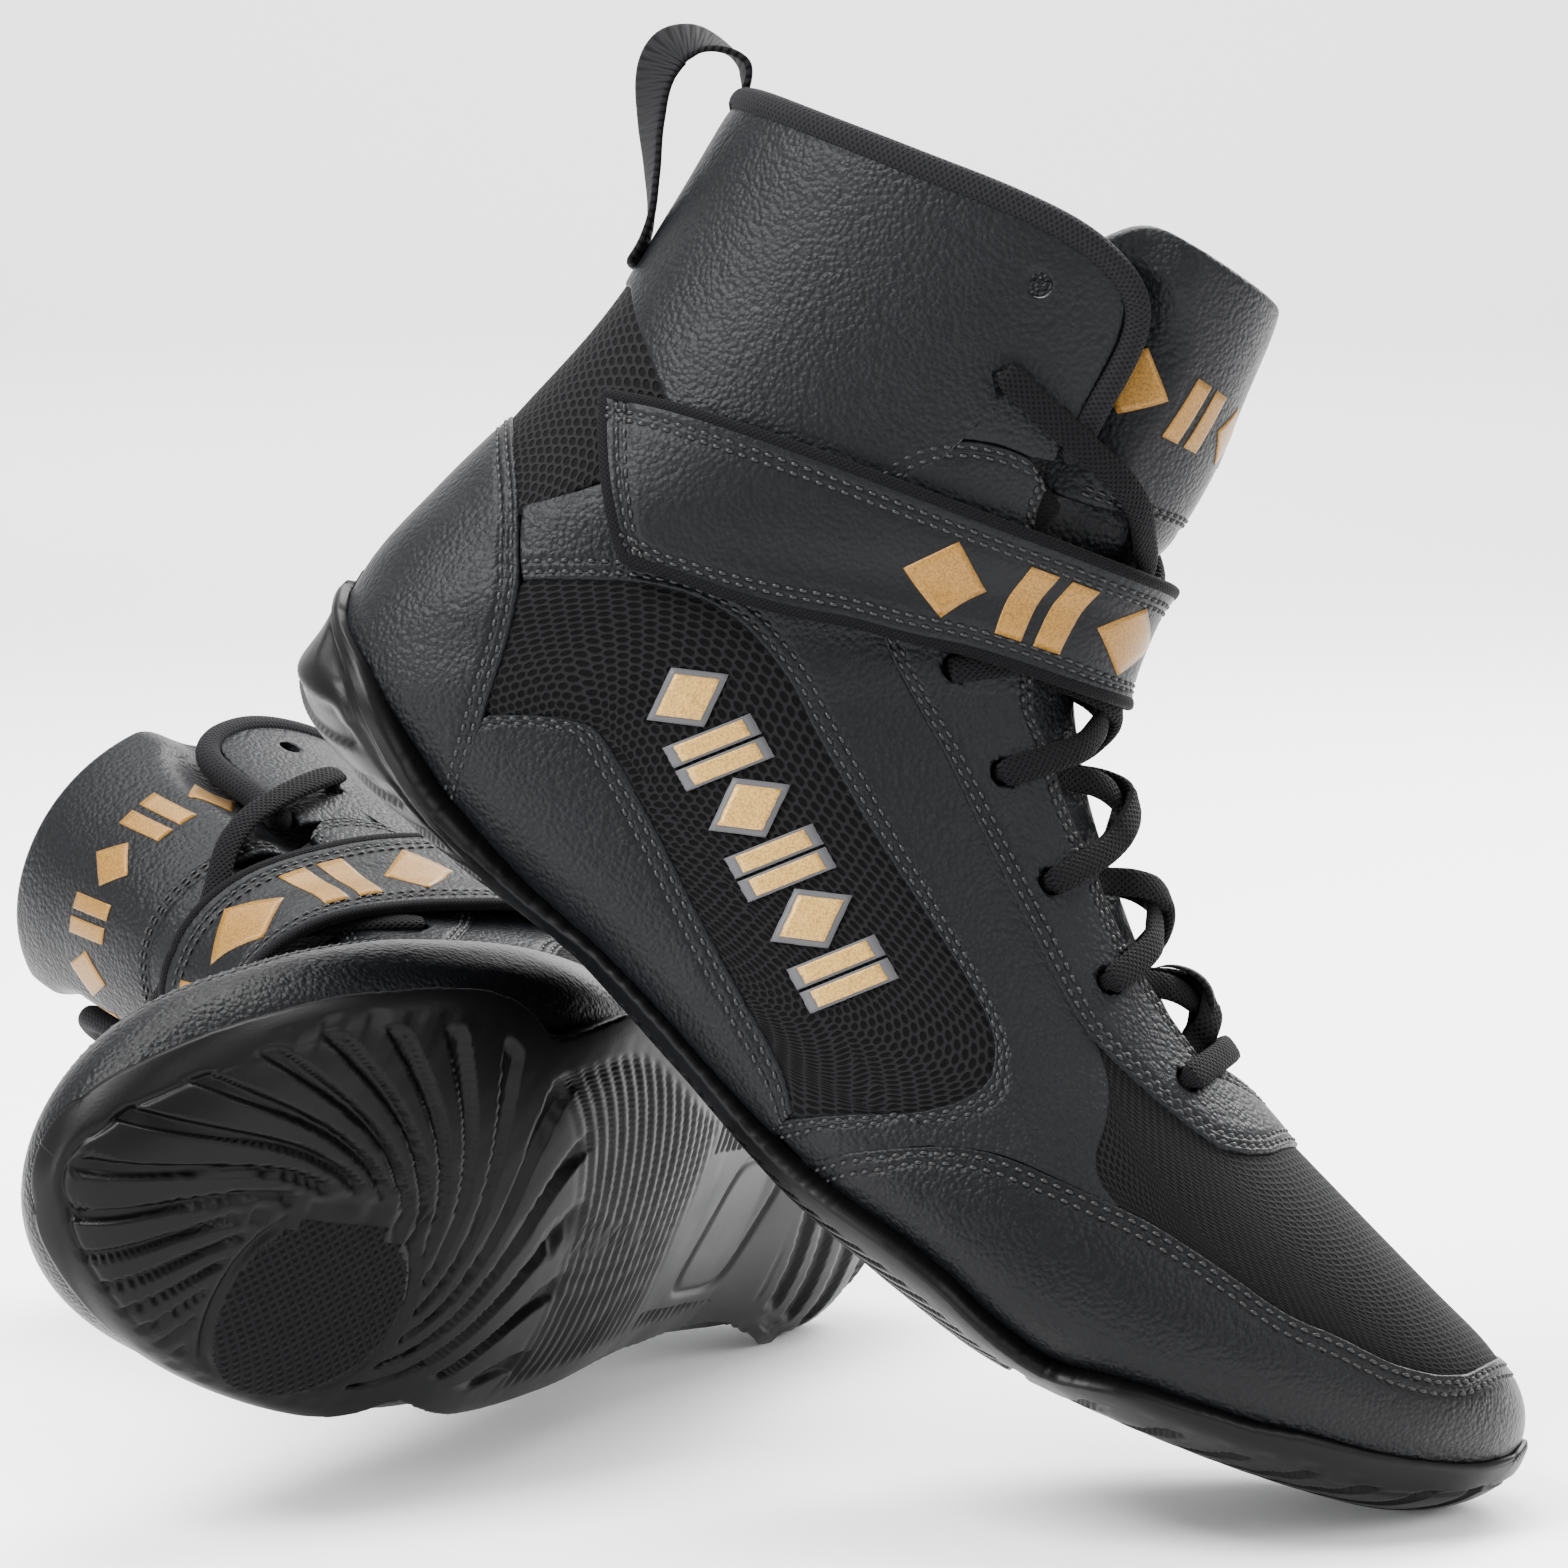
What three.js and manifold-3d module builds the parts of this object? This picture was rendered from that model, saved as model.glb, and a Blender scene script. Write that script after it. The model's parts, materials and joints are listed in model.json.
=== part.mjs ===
// A pair of high-top boxing boots: the left boot lies tilted on the inner edge of its sole and the
// right boot leans toe-down across it. Millimetres, +Z up.
//
// Every piece of a boot is a patch of one smooth "last" surface. A point of that surface is named
// by s, the station counted from the toe tip (0) to the top of the shaft (20), and by th, the angle
// around the section: 0 on the instep ridge, pi under the sole, negative on the outer side. A third
// number, h, is the height off the surface, so leather, mesh, lining and sole are layers of it.

import * as THREE from "three";
import { mergeVertices } from "three/addons/utils/BufferGeometryUtils.js";
import Module from "manifold-3d";

// ---- driving sizes (mm) ----
const BOOT_LENGTH = 285;
const BOOT_HEIGHT = 190;
const BALL_WIDTH = 95;
const STRAP_WIDTH = 28;
const STRAP_THICKNESS = 2.0;
const LACE_WIDTH = 5.4;
const LACE_THICKNESS = 2.2;
const EYELET_RADIUS = 2.6;
const LOOP_WIDTH = 16;
const LOOP_THICKNESS = 1.6;
const SOLE_THICKNESS = 5.0;
const RAND_THICKNESS = 1.8;
const COLLAR_ROLL_RADIUS = 2.3;

const KX = BOOT_LENGTH / 285;
const KZ = BOOT_HEIGHT / 190;
const KY = BALL_WIDTH / 95;

// Flat facets stand further off the curved surface on a larger boot, so its clearances grow too.
const FACETS = Math.max(KX, KY, KZ, 1);
const LINING_GAP = 1.4 * FACETS;
const LINING_THICKNESS = 1.2;
const TONGUE_GAP = 1.3 * FACETS;
const TONGUE_THICKNESS = 1.8;
const SOCK_GAP = 1.5 * FACETS;
const SOCK_THICKNESS = 2.4;
const LACE_GAP = 0.4 * FACETS;
const LACE_CROSSING = 0.9 * FACETS;
const STRAP_GAP_OVER_LACE = 0.2 * FACETS;
const KEEPER_THICKNESS = 0.9;
const HOOK_THICKNESS = 0.6;
const HOOK_GAP = 0.6;

// ---- layers, as heights off the last surface (mm) ----
const LEATHER = [-1.4, 0];
const MESH = [-1.4, -0.5];
const under = (layer, gap, thickness) => [layer[0] - gap - thickness, layer[0] - gap];
const LINING = under(LEATHER, LINING_GAP, LINING_THICKNESS);
const SOCK = under(LINING, SOCK_GAP, SOCK_THICKNESS);
const TONGUE = under(LINING, TONGUE_GAP, TONGUE_THICKNESS);
const LACE_TOP = LACE_GAP + LACE_THICKNESS;
const CROSSING_TOP = LACE_CROSSING + 1.5 * LACE_THICKNESS;
const STRAP_UNDERSIDE = LACE_TOP + STRAP_GAP_OVER_LACE;
const STRAP_RISE = CROSSING_TOP + LACE_GAP - STRAP_UNDERSIDE;
const LOOP_PATCH = [0.6, 1.3];
const HOOK_PATCH = under([STRAP_UNDERSIDE], HOOK_GAP, HOOK_THICKNESS);
const KEEPER = [CROSSING_TOP + LACE_GAP, CROSSING_TOP + LACE_GAP + KEEPER_THICKNESS];
const SEAM = 1.2;
const SOLE_GAP = 0.5;

// ---- poses: columns are the directions of each boot's toe, inner side and top ----
const RIGHT_TOE = [0.7269, -0.1185, -0.6765];
const RIGHT_INNER = [0.026, 0.9891, -0.1453];
const LEFT_TOE = [-0.4085, -0.8988, 0.1589];
const LEFT_OUTER = [0.4058, -0.0229, 0.9137];
const LEFT_ASIDE = 100.7;
const RESTING_GAP = 4.7;

// Stations of the last: front/top line x z, back/bottom line x z, half width outer, half width
// inner, centre offset, where the section is widest, exponent above and exponent below.
const STATIONS = [
  [255.5, 54, 255.5, 54, 0, 0, 9, 0.5, 2, 2],
  [252.5, 62.5, 250.5, 45, 15, 15, 8.5, 0.52, 2, 2.3],
  [246, 67.6, 240, 36, 27, 26, 7.5, 0.56, 2, 2.6],
  [236, 70, 227, 29, 36, 34.5, 6, 0.6, 2, 2.9],
  [220, 70.8, 209, 21, 43.5, 41, 4, 0.65, 1.9, 3.2],
  [200, 71.5, 188, 13, 48, 45, 2, 0.68, 1.8, 3.4],
  [179, 73, 165, 6.5, 49.5, 45.5, 0.5, 0.7, 1.7, 3.5],
  [160, 75.5, 142, 4.4, 48.5, 43.5, 0, 0.71, 1.65, 3.5],
  [143, 81, 116, 2.6, 45, 40.5, 0, 0.71, 1.65, 3.5],
  [127, 88.2, 87, 3.6, 41, 37.5, 0, 0.7, 1.7, 3.4],
  [113, 96, 56, 5.6, 38, 36, 0, 0.69, 1.75, 3.3],
  [102, 103.5, 26, 5.4, 36, 35, 0, 0.68, 1.8, 3.3],
  [94.5, 110.5, 0, 5.6, 35, 34.5, 0, 0.67, 1.9, 3.2],
  [90.3, 118, -18, 11, 34.5, 34.5, 0, 0.65, 2, 2.8],
  [87.5, 126, -25.5, 30, 34.5, 34.5, 0, 0.61, 2, 2.4],
  [86, 134, -26, 52, 35, 35, 0, 0.57, 2, 2.2],
  [84.5, 142.5, -25.5, 75, 36, 36, 0, 0.54, 2, 2.1],
  [82, 152, -26, 98, 37, 37, 0, 0.52, 2, 2.1],
  [78.5, 163, -30.5, 121, 38.5, 38.5, 0, 0.5, 2, 2.1],
  [74, 175, -35.5, 145, 40, 40, 0, 0.5, 2, 2.1],
  [69, 189, -38, 166, 41, 41, 0, 0.5, 2, 2.1],
].map((row) => row.map((value, k) => value * [KX, KZ, KX, KZ, KY, KY, KY, 1, 1, 1][k]));

function stationRow(i) {
  if (i < 0) {
    const r = STATIONS[-i];
    return [r[2], r[3], r[0], r[1], -r[4], -r[5], r[6], r[7], r[8], r[9]];
  }
  const last = STATIONS.length - 1;
  if (i > last) {
    return STATIONS[last].map((v, k) => 2 * v - STATIONS[2 * last - i][k]);
  }
  return STATIONS[i];
}

function section(s) {
  const i = Math.min(Math.max(Math.floor(s), 0), STATIONS.length - 2);
  const u = s - i;
  const rows = [stationRow(i - 1), stationRow(i), stationRow(i + 1), stationRow(i + 2)];
  return rows[0].map((p0, k) => {
    const p1 = rows[1][k];
    const p2 = rows[2][k];
    const p3 = rows[3][k];
    const a = 2 * p0 - 5 * p1 + 4 * p2 - p3;
    const b = 3 * p1 - p0 - 3 * p2 + p3;
    return 0.5 * (2 * p1 + (p2 - p0) * u + a * u * u + b * u * u * u);
  });
}

function lastPoint(s, th) {
  const r = section(s);
  const a = Math.abs(Math.atan2(Math.sin(th), Math.cos(th)));
  const outer = Math.sin(th) < 0;
  const c = Math.abs(Math.cos(a));
  const n = Math.abs(Math.sin(a));
  const upper = a <= Math.PI / 2;
  const t = upper ? r[7] * (1 - c ** (2 / r[8])) : r[7] + (1 - r[7]) * c ** (2 / r[9]);
  const f = n ** (2 / (upper ? r[8] : r[9]));
  const y = r[6] + (outer ? -r[4] : r[5]) * f;
  return new THREE.Vector3(r[0] + (r[2] - r[0]) * t, y, r[1] + (r[3] - r[1]) * t);
}

function lastNormal(s, th) {
  const e = 0.02;
  const along = lastPoint(s + e, th).sub(lastPoint(Math.max(s - e, 0), th));
  const around = lastPoint(s, th + e).sub(lastPoint(s, th - e));
  return around.cross(along).normalize();
}

function offsetPoint(s, th, h) {
  return lastPoint(s, th).addScaledVector(lastNormal(s, th), h);
}

// Finds s and |th| of the point of the last that is seen at x, z from the side.
function fromSide(x, z) {
  const px = x * KX;
  const pz = z * KZ;
  let best = null;
  const side = (s) => {
    const r = section(s);
    return (r[2] - r[0]) * (pz - r[1]) - (r[3] - r[1]) * (px - r[0]);
  };
  const step = 0.125;
  for (let s = 0.05; s < 20.6; s += step) {
    if (side(s) * side(s + step) > 0) {
      continue;
    }
    let lo = s;
    let hi = s + step;
    for (let k = 0; k < 24; k += 1) {
      const mid = (lo + hi) / 2;
      if (side(lo) * side(mid) <= 0) {
        hi = mid;
      } else {
        lo = mid;
      }
    }
    const r = section(lo);
    const dx = r[2] - r[0];
    const dz = r[3] - r[1];
    const t = ((px - r[0]) * dx + (pz - r[1]) * dz) / (dx * dx + dz * dz);
    if (t > -0.25 && t < 1.25 && (best === null || Math.abs(t - 0.5) < Math.abs(best.t - 0.5))) {
      best = { s: lo, t, m: r[7], p: r[8], q: r[9] };
    }
  }
  const t = Math.min(Math.max(best.t, 0), 1);
  if (t <= best.m) {
    return [best.s, Math.acos((1 - t / best.m) ** (best.p / 2))];
  }
  return [best.s, Math.PI / 2 + Math.asin(((t - best.m) / (1 - best.m)) ** (best.q / 2))];
}

// ---- curves on the last: lists of [s, th] ----
function sideCurve(points) {
  return points.map((p) => {
    const q = fromSide(p[0], p[1]);
    return [q[0], -q[1]];
  });
}

function mirrored(curve) {
  return curve.map((p) => [p[0], -p[1]]);
}

// Continues a curve of the outer side over the ridge (centre 0) or around the back (centre -pi).
function acrossTo(curve, centre) {
  const other = curve.map((p) => [p[0], 2 * centre - p[1]]).reverse();
  const last = curve[curve.length - 1];
  return Math.abs(last[1] - centre) < 1e-6 ? curve.concat(other.slice(1)) : curve.concat(other);
}

function resample(curve, count, trim = 0) {
  const points = curve.map((p) => lastPoint(p[0], p[1]));
  const run = [0];
  for (let i = 1; i < points.length; i += 1) {
    run.push(run[i - 1] + points[i].distanceTo(points[i - 1]));
  }
  const out = [];
  for (let k = 0; k <= count; k += 1) {
    const total = run[run.length - 1];
    const d = Math.min(trim, total * 0.2) + ((total - 2 * Math.min(trim, total * 0.2)) * k) / count;
    let i = 1;
    while (i < run.length - 1 && run[i] < d) {
      i += 1;
    }
    const u = (d - run[i - 1]) / (run[i] - run[i - 1] || 1);
    out.push([0, 1].map((c) => curve[i - 1][c] + (curve[i][c] - curve[i - 1][c]) * u));
  }
  return out;
}

// Moves a point of the last towards another one by a distance in millimetres.
function pulled(from, to, distance) {
  const gap = lastPoint(from[0], from[1]).distanceTo(lastPoint(to[0], to[1]));
  const u = Math.min(distance / Math.max(gap, 0.001), 0.45);
  return [from[0] + (to[0] - from[0]) * u, from[1] + (to[1] - from[1]) * u];
}

// ---- bodies ----
function bodyFromGrid(lower, upper) {
  const nu = lower.length;
  const nv = lower[0].length;
  const position = [];
  for (const grid of [lower, upper]) {
    for (const row of grid) {
      for (const p of row) {
        position.push(p.x, p.y, p.z);
      }
    }
  }
  const id = (layer, i, j) => layer * nu * nv + i * nv + j;
  const index = [];
  const quad = (a, b, c, d) => index.push(a, b, c, a, c, d);
  for (let i = 0; i < nu - 1; i += 1) {
    for (let j = 0; j < nv - 1; j += 1) {
      quad(id(1, i, j), id(1, i + 1, j), id(1, i + 1, j + 1), id(1, i, j + 1));
      quad(id(0, i, j), id(0, i, j + 1), id(0, i + 1, j + 1), id(0, i + 1, j));
    }
  }
  for (let i = 0; i < nu - 1; i += 1) {
    quad(id(0, i, 0), id(0, i + 1, 0), id(1, i + 1, 0), id(1, i, 0));
    quad(id(0, i, nv - 1), id(1, i, nv - 1), id(1, i + 1, nv - 1), id(0, i + 1, nv - 1));
  }
  for (let j = 0; j < nv - 1; j += 1) {
    quad(id(0, 0, j), id(1, 0, j), id(1, 0, j + 1), id(0, 0, j + 1));
    quad(id(0, nu - 1, j), id(0, nu - 1, j + 1), id(1, nu - 1, j + 1), id(1, nu - 1, j));
  }
  const geometry = new THREE.BufferGeometry();
  geometry.setAttribute("position", new THREE.Float32BufferAttribute(position, 3));
  geometry.setIndex(index);
  return outward(geometry);
}

function outward(geometry) {
  const p = geometry.attributes.position;
  const index = geometry.index.array;
  const a = new THREE.Vector3();
  const b = new THREE.Vector3();
  const c = new THREE.Vector3();
  let volume = 0;
  for (let i = 0; i < index.length; i += 3) {
    a.fromBufferAttribute(p, index[i]);
    b.fromBufferAttribute(p, index[i + 1]);
    c.fromBufferAttribute(p, index[i + 2]);
    volume += a.dot(b.cross(c));
  }
  if (volume < 0) {
    for (let i = 0; i < index.length; i += 3) {
      [index[i + 1], index[i + 2]] = [index[i + 2], index[i + 1]];
    }
  }
  geometry.computeVertexNormals();
  return geometry;
}

// A panel between two curves of the last. nu counts the steps along, nv the steps across, layer is
// its [low, high] height, and inset pulls its four edges in so that neighbours keep a seam.
function panel(curveA, curveB, nu, nv, layer, inset = SEAM / 2, height = null, trim = 1.1) {
  const a = resample(curveA, nu, trim);
  const b = resample(curveB, nu, trim);
  const lower = [];
  const upper = [];
  for (let i = 0; i <= nu; i += 1) {
    const pa = pulled(a[i], b[i], inset);
    const pb = pulled(b[i], a[i], inset);
    const low = [];
    const high = [];
    for (let j = 0; j <= nv; j += 1) {
      const v = j / nv;
      const s = pa[0] + (pb[0] - pa[0]) * v;
      const th = pa[1] + (pb[1] - pa[1]) * v;
      const rise = height ? height(s, th) : 0;
      low.push(offsetPoint(s, th, layer[0] + rise));
      high.push(offsetPoint(s, th, layer[1] + rise));
    }
    lower.push(low);
    upper.push(high);
  }
  return bodyFromGrid(lower, upper);
}

// Pushes a circle's outline out towards a square's.
function squared(v) {
  return Math.sign(v) * Math.min(Math.abs(v) * 1.22, 1);
}

// A closed bar swept through frames of { point, across, up } with a rounded outline.
function sweep(frames, width, thickness, sides = 8) {
  const position = [];
  const index = [];
  for (const f of frames) {
    const w = (f.width ?? width) / 2;
    const t = (f.thickness ?? thickness) / 2;
    for (let k = 0; k < sides; k += 1) {
      const a = (2 * Math.PI * (k + 0.5)) / sides;
      const p = f.point.clone();
      p.addScaledVector(f.across, w * squared(Math.cos(a)));
      p.addScaledVector(f.up, t * squared(Math.sin(a)));
      position.push(p.x, p.y, p.z);
    }
  }
  const n = frames.length;
  for (let i = 0; i < n - 1; i += 1) {
    for (let k = 0; k < sides; k += 1) {
      const a = i * sides + k;
      const b = i * sides + ((k + 1) % sides);
      index.push(a, b, b + sides, a, b + sides, a + sides);
    }
  }
  for (let k = 1; k < sides - 1; k += 1) {
    index.push(0, k + 1, k);
    index.push((n - 1) * sides, (n - 1) * sides + k, (n - 1) * sides + k + 1);
  }
  const geometry = new THREE.BufferGeometry();
  geometry.setAttribute("position", new THREE.Float32BufferAttribute(position, 3));
  geometry.setIndex(index);
  return outward(geometry);
}

// Frames along a curve of the last at a height, flat to the surface.
function framesOn(curve, count, height) {
  const path = resample(curve, count);
  return path.map((q, i) => {
    const before = path[Math.max(i - 1, 0)];
    const after = path[Math.min(i + 1, count)];
    const up = lastNormal(q[0], q[1]);
    const along = lastPoint(after[0], after[1]).sub(lastPoint(before[0], before[1])).normalize();
    const across = along.cross(up).normalize();
    return { point: offsetPoint(q[0], q[1], height(i / count)), across, up };
  });
}

// ---- seam lines of the outer side, as seen from the side: x, z ----
const RAND = [
  [-27, 28.5], [-20, 21], [-10, 17.5], [0, 14.5], [10, 12], [20, 10], [40, 8.3], [60, 8.6], [75, 8],
  [90, 6.8], [104, 6], [115, 6.2], [125, 7.4], [140, 9.8], [150, 10.5], [165, 9.6], [175, 8.8], [179, 10.5],
  [187, 18], [200, 25], [210, 29.5], [220, 35], [230, 40], [240, 46], [248, 52], [253, 57.5],
];
const COUNTER_TOP = [
  [-25.5, 71], [-12, 60.5], [-5, 53.5], [0, 48.5], [6, 39], [10, 31], [15, 21], [20, 12],
];
const ACHILLES_TOP = [[-26, 105], [-20, 101], [-10, 96], [0, 90], [3, 85]];
const ACHILLES_FRONT = [[-9.5, 58.5], [-1.5, 71.5], [3, 85]];
const WINDOW_TOP = [
  [2.5, 51.5], [8, 57], [17, 64.5], [27, 70], [37, 72], [50, 70.5], [60, 67], [80, 61], [100, 56],
  [115, 52], [124, 48.5], [128.5, 44], [129.5, 40], [127, 33], [122, 26], [115, 19], [108, 11],
];
const SADDLE_TOP = [
  [16.5, 30], [20, 33], [25, 36.5], [29, 38.6], [33, 38.5], [40, 36.5], [55, 31.5], [70, 26], [85, 21],
  [98, 16], [103, 11.5],
];
const CUFF_JOIN = [[3, 85], [15, 90.5], [28, 95.5], [40, 100]];
const FACING_ARCH = [[40, 100], [35, 107], [35, 113], [38, 121], [45, 128]];
const FACING_SEAM = [
  [40, 100], [50, 93.5], [60, 87.5], [80, 81], [100, 73.5], [120, 66], [130, 62.5], [140, 60],
];
const FACING_FRONT = [[140, 60], [150, 60.3], [160, 60.5], [170, 61.5], [175, 64.5], [179, 68]];
const QUARTER_FRONT = [[140, 60], [146, 56], [150, 51], [153, 45], [158, 42], [164, 41]];
const THROAT = [
  [56, 132], [61, 129], [63, 124], [80, 107], [88, 98.5], [95, 95], [105, 89.5], [115, 85.5], [125, 80.5],
  [135, 77], [145, 74.3], [157, 71.6],
];
const TOE_TOP = [
  [114, 7.5], [120, 14], [128, 23], [135, 29.5], [142, 33.5], [150, 36.5], [160, 40.2], [170, 43],
  [180, 45], [200, 48], [212, 52], [222, 55], [230, 59], [235, 63],
];
const CUFF_TOP = [[-34, 143], [-20, 148], [0, 155], [20, 163], [33, 166.6], [42, 167.2], [48, 164]];
const CUFF_FRONT = [[48, 164], [51, 158], [53, 150], [55, 142], [56, 134]];
const COLLAR_LINE = [
  [60.5, 139], [57.5, 148], [55.3, 156], [52, 164.5], [45, 169.4], [35, 170], [20, 165.6], [0, 158],
  [-20, 150.8], [-34.5, 146.2],
];
const STRAP_TOP = [[-11, 86], [0, 93], [20, 103], [40, 112], [60, 121], [75, 128], [88.5, 134.5]];
const STRAP_BOTTOM = [
  [12, 66], [20, 70], [30, 74.5], [40, 80], [50, 86.5], [60, 92], [70, 98], [85, 105], [97.5, 109.5],
];
const EYELETS = [[157.5, 66.5], [133.5, 70], [112.5, 76.5], [91.5, 85.5], [71, 94]];
const CUFF_EYELETS = [[41, 140], [33.5, 157.5]];

// Shares of the strap's length: where the free end starts, where the sewn end stops, half a joint.
const STRAP_SPLIT = 0.34;
const STRAP_GAP = 0.003;
const STRAP_LINES_APART = 28;

const EMBLEM_TOP = [[36, 62.5], [60, 57], [84, 50.5], [106, 42]];
const EMBLEM_BOTTOM = [[30, 50], [54, 44.5], [76, 37], [98, 28]];

// Stations of the lining and sock liner, the lining's joint, and the angle where the cuffs meet.
const LINING_ENDS = [2.1, 18.1];
const LINING_SPLIT = 9.4;
const LINING_JOINT = 0.02;
const LINING_SIDES = 18;
const SOCK_ENDS = [1.8, 12.1];
const SOCK_HALF_ANGLE = 0.9;
const CUFF_BACK = -3.1;
const COLLAR_ROLL_DEPTH = -1.1;

const PULL_LOOP = [
  [-38.6, 151.5], [-42, 151.8], [-47, 149.5], [-51.5, 147], [-52.5, 143], [-50, 137], [-43, 130],
  [-37.2, 124.5], [-34, 120], [-32.6, 115.5],
];
const TONGUE_WING = [
  [34.5, 174.5], [44, 175.5], [53.5, 172.5], [58, 165], [60.5, 157], [62, 149], [63.5, 139.5],
];
const TONGUE_CREST = [[34, 176], [40, 180.5], [50, 185], [60, 187.6]];
const TONGUE_CREST_STATION = 19.97;
const TONGUE_FRONT = 6.25;
const TONGUE_HEM = 16.2;
const TONGUE_TOP = [-2.2, -0.2];
const EMBLEM = [-0.1, 0.4];
const STRAP_ANCHOR = 0.84;

const smooth = (u) => {
  const c = Math.min(Math.max(u, 0), 1);
  return c * c * (3 - 2 * c);
};

const sideOf = (curve, sign) => (sign < 0 ? curve : mirrored(curve));
const ridgeOf = (x, z) => [fromSide(x, z)[0], 0];
const wasm = await Module();
wasm.setup();

function cutHoles(geometry, holes, radius) {
  const toSolid = (g) => {
    const bare = g.clone();
    bare.deleteAttribute("normal");
    bare.deleteAttribute("uv");
    const merged = mergeVertices(bare, 1e-5);
    const mesh = new wasm.Mesh({
      numProp: 3,
      vertProperties: Float32Array.from(merged.attributes.position.array),
      triVerts: Uint32Array.from(merged.index.array),
    });
    return new wasm.Manifold(mesh);
  };
  let solid = toSolid(geometry);
  for (const [s, th] of holes) {
    const drill = new THREE.CylinderGeometry(radius, radius, 12, 6);
    const normal = lastNormal(s, th);
    drill.applyQuaternion(new THREE.Quaternion().setFromUnitVectors(new THREE.Vector3(0, 1, 0), normal));
    const centre = lastPoint(s, th);
    drill.translate(centre.x, centre.y, centre.z);
    solid = solid.subtract(toSolid(drill));
  }
  const mesh = solid.getMesh();
  const result = new THREE.BufferGeometry();
  result.setAttribute("position", new THREE.Float32BufferAttribute(mesh.vertProperties, 3));
  result.setIndex(Array.from(mesh.triVerts));
  return outward(result);
}

const material = (color, roughness, metalness = 0) =>
  new THREE.MeshStandardMaterial({ color, roughness, metalness });
const LOOKS = {
  leather: material(0x1b1c20, 0.5),
  mesh: material(0x121214, 0.85),
  rubber: material(0x141416, 0.7),
  textile: material(0x101012, 0.9),
  lining: material(0x18181a, 0.95),
  gold: material(0xc9a355, 0.45, 0.4),
};

function addPiece(boot, prefix, name, geometry, look) {
  const mesh = new THREE.Mesh(geometry, look);
  mesh.name = `${prefix}_${name}`;
  boot.add(mesh);
}

// Share of the full sole thickness at each station, thin under the arch and full under the heel.
const SOLE_SHARE = [0.5, 0.7, 0.85, 0.88, 0.86, 0.8, 0.9, 0.96, 0.84, 0.5, 0.42, 0.95, 1.15, 1.3, 1.1, 0.8];

function soleShare(s) {
  const i = Math.min(Math.floor(s), SOLE_SHARE.length - 2);
  return SOLE_SHARE[i] + (SOLE_SHARE[i + 1] - SOLE_SHARE[i]) * (s - i);
}

// The outsole: a rand that cups the upper, from the heel lip to the toe bumper, and the tread below.
function outsole() {
  const half = resample(sideCurve(RAND).concat([ridgeOf(253.6, 61)]), 22);
  const rows = half.map((p) => [p, [p[0], -2 * Math.PI - p[1]]]);
  const tip = half[half.length - 1][0];
  for (const share of [0.55, 0.15]) {
    rows.push([[tip * share, -0.02], [tip * share, 0.02 - 2 * Math.PI]]);
  }
  rows[half.length - 1] = [[tip, -0.02], [tip, 0.02 - 2 * Math.PI]];
  const across = 10;
  const lower = [];
  const upper = [];
  for (const [a, b] of rows) {
    const low = [];
    const high = [];
    for (let j = 0; j <= across; j += 1) {
      const c = j / across;
      const v = c - 0.06 * Math.sin(2 * Math.PI * c);
      const s = a[0] + (b[0] - a[0]) * v;
      const th = a[1] + (b[1] - a[1]) * v;
      const down = smooth((-lastNormal(s, th).z - 0.3) / 0.5);
      const rim = RAND_THICKNESS * (0.7 + 0.3 * Math.min(j, across - j, 1));
      low.push(offsetPoint(s, th, SOLE_GAP));
      high.push(offsetPoint(s, th, SOLE_GAP + rim + (SOLE_THICKNESS * soleShare(s) - rim) * down));
    }
    lower.push(low);
    upper.push(high);
  }
  return bodyFromGrid(lower, upper);
}

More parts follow.
